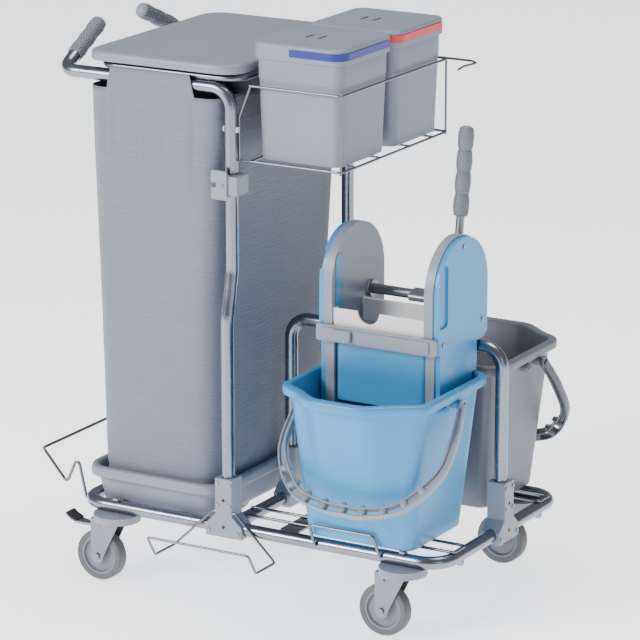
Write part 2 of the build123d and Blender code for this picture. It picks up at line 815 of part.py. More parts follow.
def make_tool_clip():
    """The clamp on the front post with a slotted plate for a broom clip."""
    y = -upper_post_y
    left = post_x - tube_radius - clip_body_wall
    front = y - tube_radius - clip_body_front
    with BuildPart() as clip:
        with BuildSketch(Plane.XY.offset(clip_low)):
            with Locations(((left + clip_right) / 2, (front + y + tube_radius + clip_body_wall) / 2)):
                RectangleRounded(clip_right - left, y + tube_radius + clip_body_wall - front, clip_body_wall)
        extrude(amount=clip_high - clip_low)
        with BuildSketch(Plane(origin=((clip_plate_left + clip_plate_right) / 2, front,
                                       (clip_low + clip_high) / 2), x_dir=(1, 0, 0), z_dir=(0, -1, 0))):
            RectangleRounded(clip_plate_right - clip_plate_left, clip_plate_height, 4.0)
            with Locations(((clip_plate_left - clip_plate_right) / 2, 0)):
                Rectangle(22.0, 9.0, mode=Mode.SUBTRACT)
        extrude(amount=clip_plate_thick)
        with BuildSketch(Plane.XY.offset(clip_low)):
            with Locations((post_x, y)):
                Circle(tube_radius + pin_gap)
        extrude(amount=clip_high - clip_low, mode=Mode.SUBTRACT)
        with BuildSketch(Plane(origin=((clip_plate_left + clip_plate_right) / 2 + 6.0,
                                       front - clip_plate_thick, (clip_low + clip_high) / 2),
                               z_dir=(0, -1, 0))):
            Circle(screw_radius)
        extrude(amount=screw_head)
    return clip.part


# ---------------------------------------------------------------- casters
def caster_places():
    """Name and stem position of each caster."""
    for end, x in (("left", -stem_reach), ("right", stem_reach)):
        for name, side in sides:
            yield f"{name}_{end}", x, side * half_width


def make_cover(x, y):
    """The round plastic cover between the frame and the fork."""
    low = rail_bottom - cover_height
    with BuildPart() as cover:
        with BuildSketch(Plane.XY.offset(low)):
            with Locations((x, y)):
                Circle(cover_radius)
                Circle(stem_radius + pin_gap, mode=Mode.SUBTRACT)
        extrude(amount=cover_height - fit_gap / 3)
    return cover.part


def make_stem_bolt(x, y):
    """The caster's stud through the frame with its nut on top."""
    low = fork_top - fork_plate
    with BuildPart() as bolt:
        with BuildSketch(Plane.XY.offset(low)):
            with Locations((x, y)):
                Circle(stem_radius)
        extrude(amount=rail_top + stem_head - low)
        with BuildSketch(Plane.XY.offset(rail_top + fit_gap / 3)):
            with Locations((x, y)):
                RegularPolygon(nut_radius, 6)
        extrude(amount=stem_head)
    return bolt.part


def make_dome_nut(y):
    """A domed nut under the end rail."""
    with BuildPart() as nut:
        with BuildSketch(Plane.XY.offset(rail_bottom - nut_height)):
            with Locations((half_length, y)):
                Circle(nut_radius - 2.0)
        extrude(amount=nut_height)
        fillet(nut.edges().group_by(Axis.Z)[0], 3.0)
    return nut.part


def make_fork(x, y):
    """The pressed swivel fork, with its axle bolt as a second solid."""
    axle_x = x - caster_trail
    inner = wheel_width / 2 + fork_clear
    with BuildPart() as fork:
        with BuildSketch(Plane.XY.offset(fork_top - fork_plate)):
            with Locations((x, y)):
                Circle(fork_head_radius)
            with Locations((x - caster_trail / 2, y)):
                Rectangle(fork_foot_width + caster_trail, 2 * (inner + fork_plate))
        extrude(amount=fork_plate)
        for side in (-1, 1):
            face = Plane(origin=(axle_x, y + side * inner, wheel_radius), x_dir=(1, 0, 0), z_dir=(0, -1, 0))
            with BuildSketch(face):
                with BuildLine():
                    Polyline((-fork_foot_width / 2, 0), (fork_foot_width / 2, 0),
                             (caster_trail + fork_foot_width / 2, fork_top - wheel_radius),
                             (-fork_foot_width / 2, fork_top - wheel_radius), close=True)
                make_face()
                Circle(fork_foot_width / 2)
            extrude(amount=-side * fork_plate)
        with BuildSketch(Plane(origin=(axle_x, y, wheel_radius), z_dir=(0, 1, 0))):
            Circle(axle_radius + pin_gap)
        extrude(amount=wheel_width, both=True, mode=Mode.SUBTRACT)
        with BuildSketch(Plane(origin=(x - pedal_pivot, y, pedal_level), z_dir=(0, 1, 0))):
            Circle(pedal_pin_radius + pin_gap)
        extrude(amount=wheel_width, both=True, mode=Mode.SUBTRACT)
        with BuildSketch(Plane.XY.offset(fork_top - 2 * fork_plate)):
            with Locations((x, y)):
                Circle(stem_radius + pin_gap)
        extrude(amount=3 * fork_plate, mode=Mode.SUBTRACT)
    with BuildPart() as axle:
        with BuildSketch(Plane(origin=(axle_x, y, wheel_radius), z_dir=(0, 1, 0))):
            Circle(axle_radius)
        extrude(amount=inner + fork_plate, both=True)
        for side in (-1, 1):
            with BuildSketch(Plane(origin=(axle_x, y + side * (inner + fork_plate), wheel_radius),
                                   z_dir=(0, side, 0))):
                RegularPolygon(axle_radius + 2.5, 6)
            extrude(amount=nut_height / 2)
    return group([fork.part, axle.part])


def make_hub(x, y):
    """The plastic wheel body, dished on both sides."""
    axle_x = x - caster_trail
    half = wheel_width / 2
    bore = wheel_radius + axle_radius + pin_gap
    rim = 2 * wheel_radius - tyre_thick
    face = [(half + 1.5, bore), (half + 1.5, bore + 8.0), (half - 6.0, bore + 11.0),
            (half - 6.0, rim - 7.0), (half - 1.0, rim - 5.0), (half - 1.0, rim)]
    outline = face + [(-across, height) for across, height in reversed(face)]
    with BuildPart() as hub:
        with BuildSketch(Plane(origin=(axle_x, y, 0), x_dir=(0, 1, 0), z_dir=(1, 0, 0))):
            with BuildLine():
                Polyline(*outline, close=True)
            make_face()
        revolve(axis=Axis((axle_x, y, wheel_radius), (0, 1, 0)))
    return hub.part


def make_tyre(x, y):
    """The tyre on the wheel body, with rounded shoulders."""
    with BuildPart() as tyre:
        with BuildSketch(Plane(origin=(x - caster_trail, y - wheel_width / 2, wheel_radius), z_dir=(0, 1, 0))):
            Circle(wheel_radius)
            Circle(wheel_radius - tyre_thick, mode=Mode.SUBTRACT)
        extrude(amount=wheel_width)
        fillet(tyre.edges().filter_by(GeomType.CIRCLE).group_by(SortBy.RADIUS)[-1], tyre_round)
    return tyre.part


def make_pedal(x, y):
    """The brake pedal over the wheel, turning on a pin in the fork."""
    pivot_x = x - pedal_pivot
    inner = wheel_width / 2 + fork_clear
    with BuildPart() as pedal:
        with BuildSketch(Plane(origin=(pivot_x, y, pedal_level), x_dir=(1, 0, 0), z_dir=(0, -1, 0))):
            with BuildLine():
                Polyline((4.0, -3.5), (4.0, 3.5), (-52.0, -3.0), (-52.0, 9.0), (-84.0, 12.0),
                         (-86.0, -5.0), (-76.0, -9.0), (-22.0, -7.0), close=True)
            make_face()
        extrude(amount=inner - fit_gap, both=True)
        with BuildSketch(Plane(origin=(pivot_x, y, pedal_level), z_dir=(0, 1, 0))):
            Circle(pedal_pin_radius)
        extrude(amount=inner + fork_plate, both=True)
    return pedal.part


# ---------------------------------------------------------------- press wringer
def plate_profile(x, inset):
    """The wringer side plate's outline on a plane across the cart, moved in by inset."""
    notch_level = divider_height + tube_radius + fit_gap
    rim_level = bucket_top + fit_gap
    front = plate_front + inset
    rear = plate_rear - inset
    arch_y = (plate_front + plate_rear) / 2
    radius = arch_radius - inset
    hook_front = -tube_radius - fit_gap - inset - 0.4
    with BuildSketch(Plane.YZ.offset(x)) as profile:
        with BuildLine():
            ThreePointArc((front, arch_centre_z), (arch_y, arch_centre_z + radius), (rear, arch_centre_z))
            Polyline(
                (rear, arch_centre_z), (rear, notch_level + plate_chamfer + inset),
                (plate_toe - inset, notch_level + inset),
                (hook_front, notch_level + inset), (hook_front, rim_level + inset),
                (plate_back_low - inset, rim_level + inset), (plate_back_low - inset, wringer_bottom + inset),
                (plate_front_low + inset, wringer_bottom + inset), (plate_front_low + inset, crossbar_low),
                (front, crossbar_low), (front, arch_centre_z),
            )
        make_face()
    return profile.sketch


def make_plate(side, inset, near, far, bore):
    """One layer of a wringer side plate between two distances from the wringer's middle."""
    with BuildPart() as plate:
        extrude(plate_profile(wringer_x + side * near, inset), amount=side * (far - near))
        if bore:
            with BuildSketch(Plane(origin=(wringer_x, shaft_y, shaft_z), z_dir=(side, 0, 0))):
                Circle(bore)
            extrude(amount=wringer_half, mode=Mode.SUBTRACT)
    return plate.part


def make_inner_shell(side):
    """The grey inner layer, bored for the press shaft."""
    return make_plate(side, 0.0, inner_face, inner_face + inner_shell_thick, shaft_radius + pin_gap)


def make_outer_shell(side):
    """The blue outer layer, with a long finger recess."""
    near = inner_face + inner_shell_thick
    shell = make_plate(side, outer_shell_inset, near, near + outer_shell_thick, 0.0)
    with BuildPart() as recessed:
        add(shell)
        with BuildSketch(Plane.YZ.offset(wringer_x + side * (wringer_half - recess_depth))):
            with Locations(((recess_front + recess_rear) / 2, (recess_low + recess_high) / 2)):
                RectangleRounded(recess_rear - recess_front, recess_high - recess_low, recess_round)
        extrude(amount=side * recess_depth, mode=Mode.SUBTRACT)
    return recessed.part


def make_crossbar():
    """The grey bar across the front of the wringer, with a raised panel."""
    width = 2 * wringer_half
    middle = (crossbar_low + crossbar_high) / 2
    with BuildPart() as bar:
        with BuildSketch(Plane(origin=(wringer_x, plate_front, middle), x_dir=(1, 0, 0), z_dir=(0, -1, 0))):
            RectangleRounded(width, crossbar_high - crossbar_low, 4.0)
        extrude(amount=crossbar_thick - panel_raise)
        with BuildSketch(Plane(origin=(wringer_x, plate_front - crossbar_thick + panel_raise, middle),
                               x_dir=(1, 0, 0), z_dir=(0, -1, 0))):
            RectangleRounded(width - 26.0, crossbar_high - crossbar_low - 8.0, 3.0)
        extrude(amount=panel_raise)
        with BuildSketch(Plane(origin=(wringer_x, plate_front, crossbar_high), z_dir=(0, -1, 0))):
            with Locations((wringer_half - 42.0, 0)):
                Rectangle(30.0, 12.0)
        extrude(amount=crossbar_thick, mode=Mode.SUBTRACT)
    return bar.part


def make_crossbar_clip():
    """The small catch on the crossbar."""
    return rounded_prism((wringer_x - 86.0, wringer_x - 48.0),
                         (plate_front - crossbar_thick - 7.0, plate_front - crossbar_thick),
                         (crossbar_low + 5.0, crossbar_high - 5.0), 3.0, 1.5)


def make_wringer_basket():
    """The press basket between the plates, open at the top."""
    box = (wringer_x - inner_face, wringer_x + inner_face, basket_front_y, plate_back_low - 1.0)
    return tapered_shell(box, box, (press_basket_low, press_basket_high), 14.0, bucket_wall, bucket_wall)


def make_guide():
    """The white guide in front of the press, with side flanges and a curved cut-out."""
    width = 2 * inner_face
    middle = (guide_low + guide_high) / 2
    with BuildPart() as guide:
        with BuildSketch(Plane(origin=(wringer_x, guide_front, middle), x_dir=(1, 0, 0), z_dir=(0, 1, 0))):
            Rectangle(width, guide_high - guide_low)
            with Locations((-22.0, (guide_low - guide_high) / 2)):
                Circle(guide_cut_radius, mode=Mode.SUBTRACT)
        extrude(amount=guide_thick)
        for side in (-1, 1):
            with BuildSketch(Plane.XY.offset(guide_low)):
                with Locations((wringer_x + side * (inner_face - guide_thick / 2), guide_front + guide_flange / 2)):
                    Rectangle(guide_thick, guide_flange)
            extrude(amount=guide_high - guide_low)
    return guide.part


def lever_point(distance):
    """A point on the lever's line, measured from the shaft's axis."""
    lean = radians(lever_lean)
    return (lever_x, shaft_y + distance * sin(lean), shaft_z + distance * cos(lean))


def lever_direction():
    """The way the lever points, away from the shaft."""
    return Vector(*lever_point(1.0)) - Vector(*lever_point(0.0))


def make_press_shaft():
    """The press shaft with its flange, its cam and the lever's steel tube in one piece."""
    reach = inner_face + inner_shell_thick - shaft_end_gap
    with BuildPart() as shaft:
        with BuildSketch(Plane(origin=(wringer_x - reach, shaft_y, shaft_z), z_dir=(1, 0, 0))):
            Circle(shaft_radius)
        extrude(amount=2 * reach)
        left = wringer_x - inner_face + bush_thick + fit_gap
        with BuildSketch(Plane(origin=(left, shaft_y, shaft_z), z_dir=(1, 0, 0))):
            Circle(shaft_flange_radius)
        extrude(amount=flange_thick)
        with BuildSketch(Plane(origin=(cam_left, shaft_y, shaft_z), x_dir=(0, 1, 0), z_dir=(1, 0, 0))):
            Circle(cam_base_radius)
            with Locations((-cam_throw, 0)):
                Circle(cam_tip_radius)
            make_hull()
        extrude(amount=cam_right - cam_left)
        with BuildSketch(Plane(origin=(lever_x, shaft_y, shaft_z), z_dir=(1, 0, 0))):
            Circle(lever_boss_radius)
        extrude(amount=lever_radius + 2.0, both=True)
        with BuildSketch(Plane(origin=lever_point(0.0), z_dir=lever_direction())):
            Circle(lever_radius)
        extrude(amount=lever_length + lever_grip_length / 2)
    return shaft.part


def make_lever_grip():
    """The rounded plastic sleeve on the lever."""
    start = Vector(*lever_point(lever_length))
    plane = Plane(origin=start, z_dir=lever_direction())
    with BuildPart() as sleeve:
        with BuildSketch(plane):
            Circle(lever_grip_radius)
        extrude(amount=lever_grip_length)
        fillet(sleeve.edges().sort_by(Axis(start, lever_direction()))[-1], grip_end)
        with BuildSketch(plane):
            Circle(lever_radius + pin_gap)
        extrude(amount=lever_grip_length / 2 + fit_gap, mode=Mode.SUBTRACT)
    return sleeve.part


def make_jaw():
    """The press plate, with ears at its top that run against the side plates."""
    width = 2 * (inner_face - bucket_wall - fit_gap)
    with BuildPart() as jaw:
        with BuildSketch(Plane(origin=(wringer_x, jaw_front, (jaw_low + jaw_high) / 2), x_dir=(1, 0, 0),
                               z_dir=(0, 1, 0))):
            RectangleRounded(width, jaw_high - jaw_low, 2.5)
            with Locations((0, (jaw_low - jaw_high + jaw_ear) / 2)):
                Rectangle(2 * (inner_face - fit_gap), jaw_ear)
        extrude(amount=jaw_thick)
    return jaw.part


def make_wringer_screws():
    """Screw heads on the outer shells."""
    heads = []
    for side in (-1, 1):
        for y, z in wringer_screw_places:
            with BuildPart() as head:
                with BuildSketch(Plane(origin=(wringer_x + side * wringer_half, y, z), z_dir=(side, 0, 0))):
                    Circle(screw_radius + 1.0)
                extrude(amount=screw_head)
            heads.append(head.part)
    return group(heads)


def make_bush(side):
    """A plain bearing ring round the shaft on a plate's inner face."""
    with BuildPart() as bush:
        with BuildSketch(Plane(origin=(wringer_x + side * inner_face, shaft_y, shaft_z), z_dir=(-side, 0, 0))):
            Circle(bush_radius)
            Circle(shaft_radius + pin_gap, mode=Mode.SUBTRACT)
        extrude(amount=bush_thick)
    return bush.part


# ---------------------------------------------------------------- every piece, written out
def main():
    """Build each sub-part and write it as its own STEP file."""
    casters = list(caster_places())
    save(make_base_frame(), "base_frame")
    save(make_cross_tube(), "mid_cross_tube")
    save(make_support_bars(), "support_bars")
    save(group([make_rack_wire(side * y, side * (y + rack_wire_span)) for y in (rack_wire_y,)
                for _, side in sides]), "bucket_rack_wires")
    save(group(make_bracket(post_x, -half_width, True) + make_bracket(post_x, half_width, True)),
         "post_brackets")
    save(group(make_bracket(post_x, 0.0, False) + make_bracket(half_length, 0.0, False)),
         "divider_brackets")
    save(make_bracket_screws(), "bracket_screws")
    save(make_divider(), "divider_tube")
    save(make_hoop(), "lid_hoop")
    save(make_bag(), "laundry_bag")
    save(make_tray(), "bag_tray")
    save(make_lid(), "bag_lid")
    save(make_basket(), "bin_basket")
    save(make_front_holder(), "front_wire_holder")
    save(make_end_holder(), "end_wire_holder")
    save(make_tool_clip(), "tool_clip")
    save(group([make_grip(side) for _, side in sides]), "handle_grips")
    save(group([make_post_bolt(side) for _, side in sides]), "post_bolts")
    save(group([make_guard(side) for _, side in sides]), "bucket_guards")
    save(group([make_cover(x, y) for _, x, y in casters]), "caster_covers")
    save(group([make_stem_bolt(x, y) for _, x, y in casters]
               + [make_dome_nut(side * (rack_wire_y + 8.0)) for _, side in sides]), "frame_bolts")
    for name, side in sides:
        save(make_post(side), f"{name}_post")
        save(make_bin(side), f"{name}_bin")
        save(make_bin_lid(side), f"{name}_bin_lid")
        save(make_bin_band(side), f"{name}_bin_band")
        save(make_bucket(name, side), f"{name}_bucket")
        save(make_bail(name, side), f"{name}_bail")
    for name, x, y in casters:
        save(make_fork(x, y), f"{name}_fork")
        save(make_hub(x, y), f"{name}_hub")
        save(make_tyre(x, y), f"{name}_tyre")
        if x < 0:
            save(make_pedal(x, y), f"{name}_pedal")
    for name, side in (("left", -1), ("right", 1)):
        save(make_inner_shell(side), f"wringer_{name}_inner")
        save(make_outer_shell(side), f"wringer_{name}_outer")
    save(group([make_bush(side) for _, side in sides]), "shaft_bushes")
    save(make_crossbar(), "wringer_crossbar")
    save(make_crossbar_clip(), "crossbar_clip")
    save(make_wringer_basket(), "wringer_basket")
    save(make_guide(), "wringer_guide")
    save(make_wringer_screws(), "wringer_screws")
    save(make_press_shaft(), "press_shaft")
    save(make_lever_grip(), "lever_grip")
    save(make_jaw(), "press_jaw")


main()
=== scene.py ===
import bmesh
import bpy
from math import cos, pi, radians, sin, tau
from mathutils import Matrix, Vector


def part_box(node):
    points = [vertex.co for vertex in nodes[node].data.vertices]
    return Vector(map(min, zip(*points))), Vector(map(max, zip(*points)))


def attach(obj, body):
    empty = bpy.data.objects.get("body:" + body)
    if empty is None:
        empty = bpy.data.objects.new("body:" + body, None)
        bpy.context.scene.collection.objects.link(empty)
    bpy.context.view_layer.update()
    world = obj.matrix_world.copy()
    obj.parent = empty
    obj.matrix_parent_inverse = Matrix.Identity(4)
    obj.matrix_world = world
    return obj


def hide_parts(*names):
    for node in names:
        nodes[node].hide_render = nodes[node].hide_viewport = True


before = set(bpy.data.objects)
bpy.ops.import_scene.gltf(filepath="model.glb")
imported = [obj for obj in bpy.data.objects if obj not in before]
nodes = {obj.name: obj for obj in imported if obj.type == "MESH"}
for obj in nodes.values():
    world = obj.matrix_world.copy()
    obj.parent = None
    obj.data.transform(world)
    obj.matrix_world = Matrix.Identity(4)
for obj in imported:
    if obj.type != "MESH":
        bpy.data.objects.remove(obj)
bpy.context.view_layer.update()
print("frame loaded")


# a socket that can be used in sums, in shader and geometry trees alike
class Sock:
    def __init__(self, tree, out):
        self.tree = tree
        self.out = out

    def make(self, kind, values=(), outName=0, **settings):
        node = self.tree.nodes.new(kind)
        for key, value in settings.items():
            setattr(node, key, value)
        for key, value in dict(values).items():
            if isinstance(value, Sock):
                self.tree.links.new(value.out, node.inputs[key])
            else:
                node.inputs[key].default_value = value
        return Sock(self.tree, node.outputs[outName])

    def sum(self, operation, first, second=0.0, third=0.0):
        return self.make("ShaderNodeMath", {0: first, 1: second, 2: third}, operation=operation)

    def __add__(self, other):
        return self.sum("ADD", self, other)

    def __radd__(self, other):
        return self.sum("ADD", other, self)

    def __sub__(self, other):
        return self.sum("SUBTRACT", self, other)

    def __rsub__(self, other):
        return self.sum("SUBTRACT", other, self)

    def __mul__(self, other):
        return self.sum("MULTIPLY", self, other)

    def __rmul__(self, other):
        return self.sum("MULTIPLY", other, self)

    def __truediv__(self, other):
        return self.sum("DIVIDE", self, other)

    def __rtruediv__(self, other):
        return self.sum("DIVIDE", other, self)

    def __pow__(self, other):
        return self.sum("POWER", self, other)

    def spread(self, low, high, newLow, newHigh):
        return self.make("ShaderNodeMapRange", {0: self, 1: low, 2: high, 3: newLow, 4: newHigh})


# finishes
def startFinish(name, metallic=0.0, coat=0.0):
    material = bpy.data.materials.new(name)
    material.use_nodes = True
    tree = material.node_tree
    shader = tree.nodes["Principled BSDF"]
    shader.inputs["Metallic"].default_value = metallic
    shader.inputs["Coat Weight"].default_value = coat
    place = Sock(tree, tree.nodes.new("ShaderNodeTexCoord").outputs["Object"])
    return material, shader, place


def noise(place, scale, detail=3.0, roughness=0.55, stretch=(1, 1, 1)):
    moved = place.make("ShaderNodeMapping", {"Vector": place, "Scale": stretch})
    return place.make("ShaderNodeTexNoise", {"Vector": moved, "Scale": scale, "Detail": detail,
                                             "Roughness": roughness}, outName="Fac")


def blendColours(factor, low, high):
    return factor.make("ShaderNodeMix", {0: factor, 6: (*low, 1), 7: (*high, 1)}, outName=2,
                       data_type="RGBA")


def plug(shader, **values):
    for key, value in values.items():
        shader.id_data.links.new(value.out, shader.inputs[key.replace("_", " ")])


def bump(height, distance, strength=1.0):
    return height.make("ShaderNodeBump", {"Height": height, "Distance": distance, "Strength": strength},
                       outName="Normal")


def steelFinish(name, low, high, rough, grain, stretch):
    material, shader, place = startFinish(name, metallic=1.0)
    cloud = noise(place, 18.0)
    scratch = noise(place, grain, 2.0, 0.6, stretch)
    plug(shader, Base_Color=blendColours(cloud, low, high),
         Roughness=cloud.spread(0.3, 0.7, rough, rough + 0.08) + scratch * 0.10,
         Normal=bump(scratch, 0.00003, 0.6))
    return material


def mouldedFinish(name, low, high, rough, grainDepth=0.00005, grain=900.0, coat=0.0):
    material, shader, place = startFinish(name, coat=coat)
    cloud = noise(place, 6.0, 4.0)
    speck = noise(place, grain, 2.0)
    wear = noise(place, 60.0, 5.0, 0.7)
    plug(shader, Base_Color=blendColours(cloud * 0.7 + wear * 0.3, low, high),
         Roughness=rough + (wear - 0.5) * 0.18, Normal=bump(speck + wear * 0.3, grainDepth, 0.7))
    return material


def clothFinish(name, low, high):
    material, shader, place = startFinish(name)
    shader.inputs["Sheen Weight"].default_value = 0.25
    ripple = noise(place, 44.0, 4.0, 0.58, (0.55, 0.55, 6.5))
    parts = place.make("ShaderNodeSeparateXYZ", {0: place}, outName="X")
    across = Sock(place.tree, parts.out.node.outputs["X"]) + Sock(place.tree, parts.out.node.outputs["Y"])
    up = Sock(place.tree, parts.out.node.outputs["Z"])
    weave = (across * 4200.0).sum("SINE", across * 4200.0) * (up * 4200.0).sum("SINE", up * 4200.0)
    plug(shader, Base_Color=blendColours(ripple * 0.6 + weave * 0.06 + 0.2, low, high),
         Roughness=0.62 + ripple * 0.15, Normal=bump(ripple + weave * 0.02, 0.0024, 0.9))
    return material


finish = {
    "tube": steelFinish("polishedTube", (0.17, 0.19, 0.23), (0.27, 0.29, 0.34), 0.17, 300.0, (1, 1, 0.05)),
    "wire": steelFinish("brightWire", (0.14, 0.15, 0.17), (0.22, 0.23, 0.26), 0.24, 500.0, (1, 1, 1)),
    "zinc": steelFinish("zincPlate", (0.19, 0.20, 0.225), (0.27, 0.28, 0.31), 0.32, 220.0, (1, 1, 1)),
    "screw": steelFinish("screwSteel", (0.22, 0.22, 0.24), (0.34, 0.34, 0.36), 0.26, 800.0, (1, 1, 1)),
    "grey": mouldedFinish("paleGreyPlastic", (0.205, 0.235, 0.295), (0.255, 0.285, 0.345), 0.40),
    "bin": mouldedFinish("binGreyPlastic", (0.19, 0.218, 0.275), (0.235, 0.263, 0.32), 0.46, 0.00016, 330.0),
    "lid": mouldedFinish("lidGreyPlastic", (0.195, 0.22, 0.265), (0.235, 0.26, 0.305), 0.42, 0.00010, 420.0),
    "bucketGrey": mouldedFinish("bucketGreyPlastic", (0.115, 0.127, 0.155), (0.145, 0.157, 0.185), 0.40),
    "bailGrey": mouldedFinish("bailGreyPlastic", (0.07, 0.076, 0.092), (0.10, 0.106, 0.122), 0.38),
    "blue": mouldedFinish("skyBluePlastic", (0.030, 0.255, 0.50), (0.042, 0.285, 0.545), 0.40, coat=0.10),
    "cap": mouldedFinish("casterCapPlastic", (0.21, 0.24, 0.30), (0.26, 0.29, 0.35), 0.45),
    "grip": mouldedFinish("gripRubber", (0.18, 0.195, 0.225), (0.23, 0.245, 0.275), 0.58, 0.00015, 700.0),
    "tyre": mouldedFinish("tyreRubber", (0.085, 0.085, 0.085), (0.12, 0.12, 0.12), 0.60, 0.00012, 500.0),
    "hub": mouldedFinish("hubPlastic", (0.14, 0.155, 0.19), (0.185, 0.20, 0.235), 0.46),
    "white": mouldedFinish("creamPlastic", (0.74, 0.73, 0.70), (0.82, 0.81, 0.78), 0.40),
    "bandBlue": mouldedFinish("deepBlueBand", (0.005, 0.009, 0.20), (0.009, 0.015, 0.27), 0.34),
    "bandRed": mouldedFinish("redBand", (0.60, 0.022, 0.014), (0.70, 0.034, 0.02), 0.34),
    "dimple": mouldedFinish("dimpleShade", (0.075, 0.08, 0.09), (0.10, 0.105, 0.115), 0.7),
    # near black: the real colour of the pedal pads, and painted shade in the bracket holes
    "dark": mouldedFinish("darkPadAndHoleShade", (0.01, 0.01, 0.012), (0.03, 0.03, 0.034), 0.7),
    "bag": clothFinish("bagCloth", (0.125, 0.146, 0.19), (0.20, 0.226, 0.28)),
}
print("finishes made")

nodeFinish = {
    "tube": ("base_frame", "mid_cross_tube", "front_post", "rear_post", "divider_tube"),
    "wire": ("bucket_rack_wires", "lid_hoop", "bin_basket", "front_wire_holder", "end_wire_holder",
             "bucket_guards"),
    "zinc": ("support_bars", "press_shaft", "front_left_pedal", "rear_left_pedal"),
    "screw": ("bracket_screws", "frame_bolts", "wringer_screws"),
    "grey": ("post_brackets", "divider_brackets", "tool_clip", "wringer_left_inner",
             "wringer_right_inner", "wringer_crossbar", "crossbar_clip", "rear_bail", "front_bail"),
    "bin": ("front_bin", "rear_bin", "front_bin_lid", "rear_bin_lid", "bag_tray"),
    "lid": ("bag_lid",),
    "blue": ("front_bucket", "wringer_left_outer", "wringer_right_outer", "wringer_basket"),
    "bucketGrey": ("rear_bucket",),
    "cap": ("caster_covers",),
    "grip": ("handle_grips", "lever_grip"),
    "white": ("wringer_guide", "press_jaw", "post_bolts", "shaft_bushes"),
    "bandBlue": ("front_bin_band",),
    "bandRed": ("rear_bin_band",),
    "bag": ("laundry_bag",),
}
casterNames = ("front_left", "rear_left", "front_right", "rear_right")
softEdge = {  # bevel width in metres for the hard-edged mouldings
    "post_brackets": 0.0012, "divider_brackets": 0.0012, "tool_clip": 0.0008, "wringer_left_inner": 0.0025,
    "wringer_right_inner": 0.0025, "wringer_left_outer": 0.0025, "wringer_right_outer": 0.0025,
    "wringer_crossbar": 0.0015, "wringer_basket": 0.001, "wringer_guide": 0.0007, "press_jaw": 0.001,
    "crossbar_clip": 0.0006, "support_bars": 0.0004, "caster_covers": 0.002,
    "front_left_pedal": 0.0008, "rear_left_pedal": 0.0008,
}


def paint(piece, material):
    piece.data.materials.clear()
    piece.data.materials.append(material)


for finishName, names in nodeFinish.items():
    for name in names:
        paint(nodes[name], finish[finishName])
for name in casterNames:
    paint(nodes[name + "_fork"], finish["zinc"])
    paint(nodes[name + "_hub"], finish["hub"])
    paint(nodes[name + "_tyre"], finish["tyre"])
    softEdge[name + "_fork"] = 0.0006
for name, width in softEdge.items():
    bevel = nodes[name].modifiers.new("softEdge", "BEVEL")
    bevel.width = width
    bevel.segments = 2
    bevel.limit_method = "ANGLE"
    bevel.angle_limit = radians(40)
    bevel.harden_normals = False
print("nodes painted")


# mesh helpers
def addPiece(name, points, faces, material, smooth=True):
    mesh = bpy.data.meshes.new(name)
    mesh.from_pydata([tuple(p) for p in points], [], faces)
    mesh.validate()
    piece = bpy.data.objects.new(name, mesh)
    bpy.context.scene.collection.objects.link(piece)
    mesh.materials.append(material)
    for face in mesh.polygons:
        face.use_smooth = smooth
    return piece


def ringFaces(rings, around, closedLoop=False):
    faces = []
    last = rings if closedLoop else rings - 1
    for i in range(last):
        for j in range(around):
            k = (j + 1) % around
            low = i * around
            high = ((i + 1) % rings) * around
            faces.append((low + j, low + k, high + k, high + j))
    return faces


def loftRings(rings):  # rings run from one end cap to the other
    around = len(rings[0])
    points = [p for ring in rings for p in ring]
    faces = ringFaces(len(rings), around)
    faces.append(tuple(range(around))[::-1])
    faces.append(tuple(range(len(points) - around, len(points))))
    return points, faces


def fixNormals(piece):
    form = bmesh.new()
    form.from_mesh(piece.data)
    bmesh.ops.recalc_face_normals(form, faces=form.faces)
    form.to_mesh(piece.data)
    form.free()


def joinParts(parts):  # several (points, faces) into one
    points, faces = [], []
    for somePoints, someFaces in parts:
        shift = len(points)
        points += list(somePoints)
        faces += [tuple(i + shift for i in face) for face in someFaces]
    return points, faces


def roundedRing(x0, x1, y0, y1, corner, z, bow=0.0, side=-1, steps=14, turn=8):
    # an outline whose outer side, the one towards side * Y, swells out by bow
    ring = []
    corners = ((x1 - corner, y0 + corner, -pi / 2), (x1 - corner, y1 - corner, 0.0),
               (x0 + corner, y1 - corner, pi / 2), (x0 + corner, y0 + corner, pi))
    for number, (cx, cy, start) in enumerate(corners):
        for i in range(turn + 1):
            angle = start + pi / 2 * i / turn
            ring.append(Vector((cx + corner * cos(angle), cy + corner * sin(angle), z)))
        nextCorner = corners[(number + 1) % 4]
        nextStart = Vector((nextCorner[0] + corner * cos(nextCorner[2]),
                            nextCorner[1] + corner * sin(nextCorner[2]), z))
        lastPoint = ring[-1].copy()
        for i in range(1, steps):
            ring.append(lastPoint.lerp(nextStart, i / steps))
    if bow:
        middle, half = (x0 + x1) / 2, (x1 - x0) / 2
        edge = y0 if side < 0 else y1
        depth = abs(y1 - y0)
        for point in ring:
            share = abs(point.x - middle) / half
            swell = 0.5 * (1 + cos(pi * min(max((share - 0.28) / 0.60, 0.0), 1.0)))
            near = max(0.0, 1 - abs(point.y - edge) / (0.35 * depth))
            point.y += side * bow * swell * near
    return ring


def tubeAlong(path, radius, around=20):  # radius is a number or one for each point
    rings = []
    count = len(path)
    normal = None
    for i, point in enumerate(path):
        ahead = (path[min(i + 1, count - 1)] - path[max(i - 1, 0)]).normalized()
        if normal is None:
            normal = ahead.orthogonal().normalized()
        normal = (normal - ahead * normal.dot(ahead)).normalized()
        other = ahead.cross(normal)
        size = radius[i] if isinstance(radius, (list, tuple)) else radius
        rings.append([point + (normal * cos(tau * j / around) + other * sin(tau * j / around)) * size
                      for j in range(around)])
    return loftRings(rings)


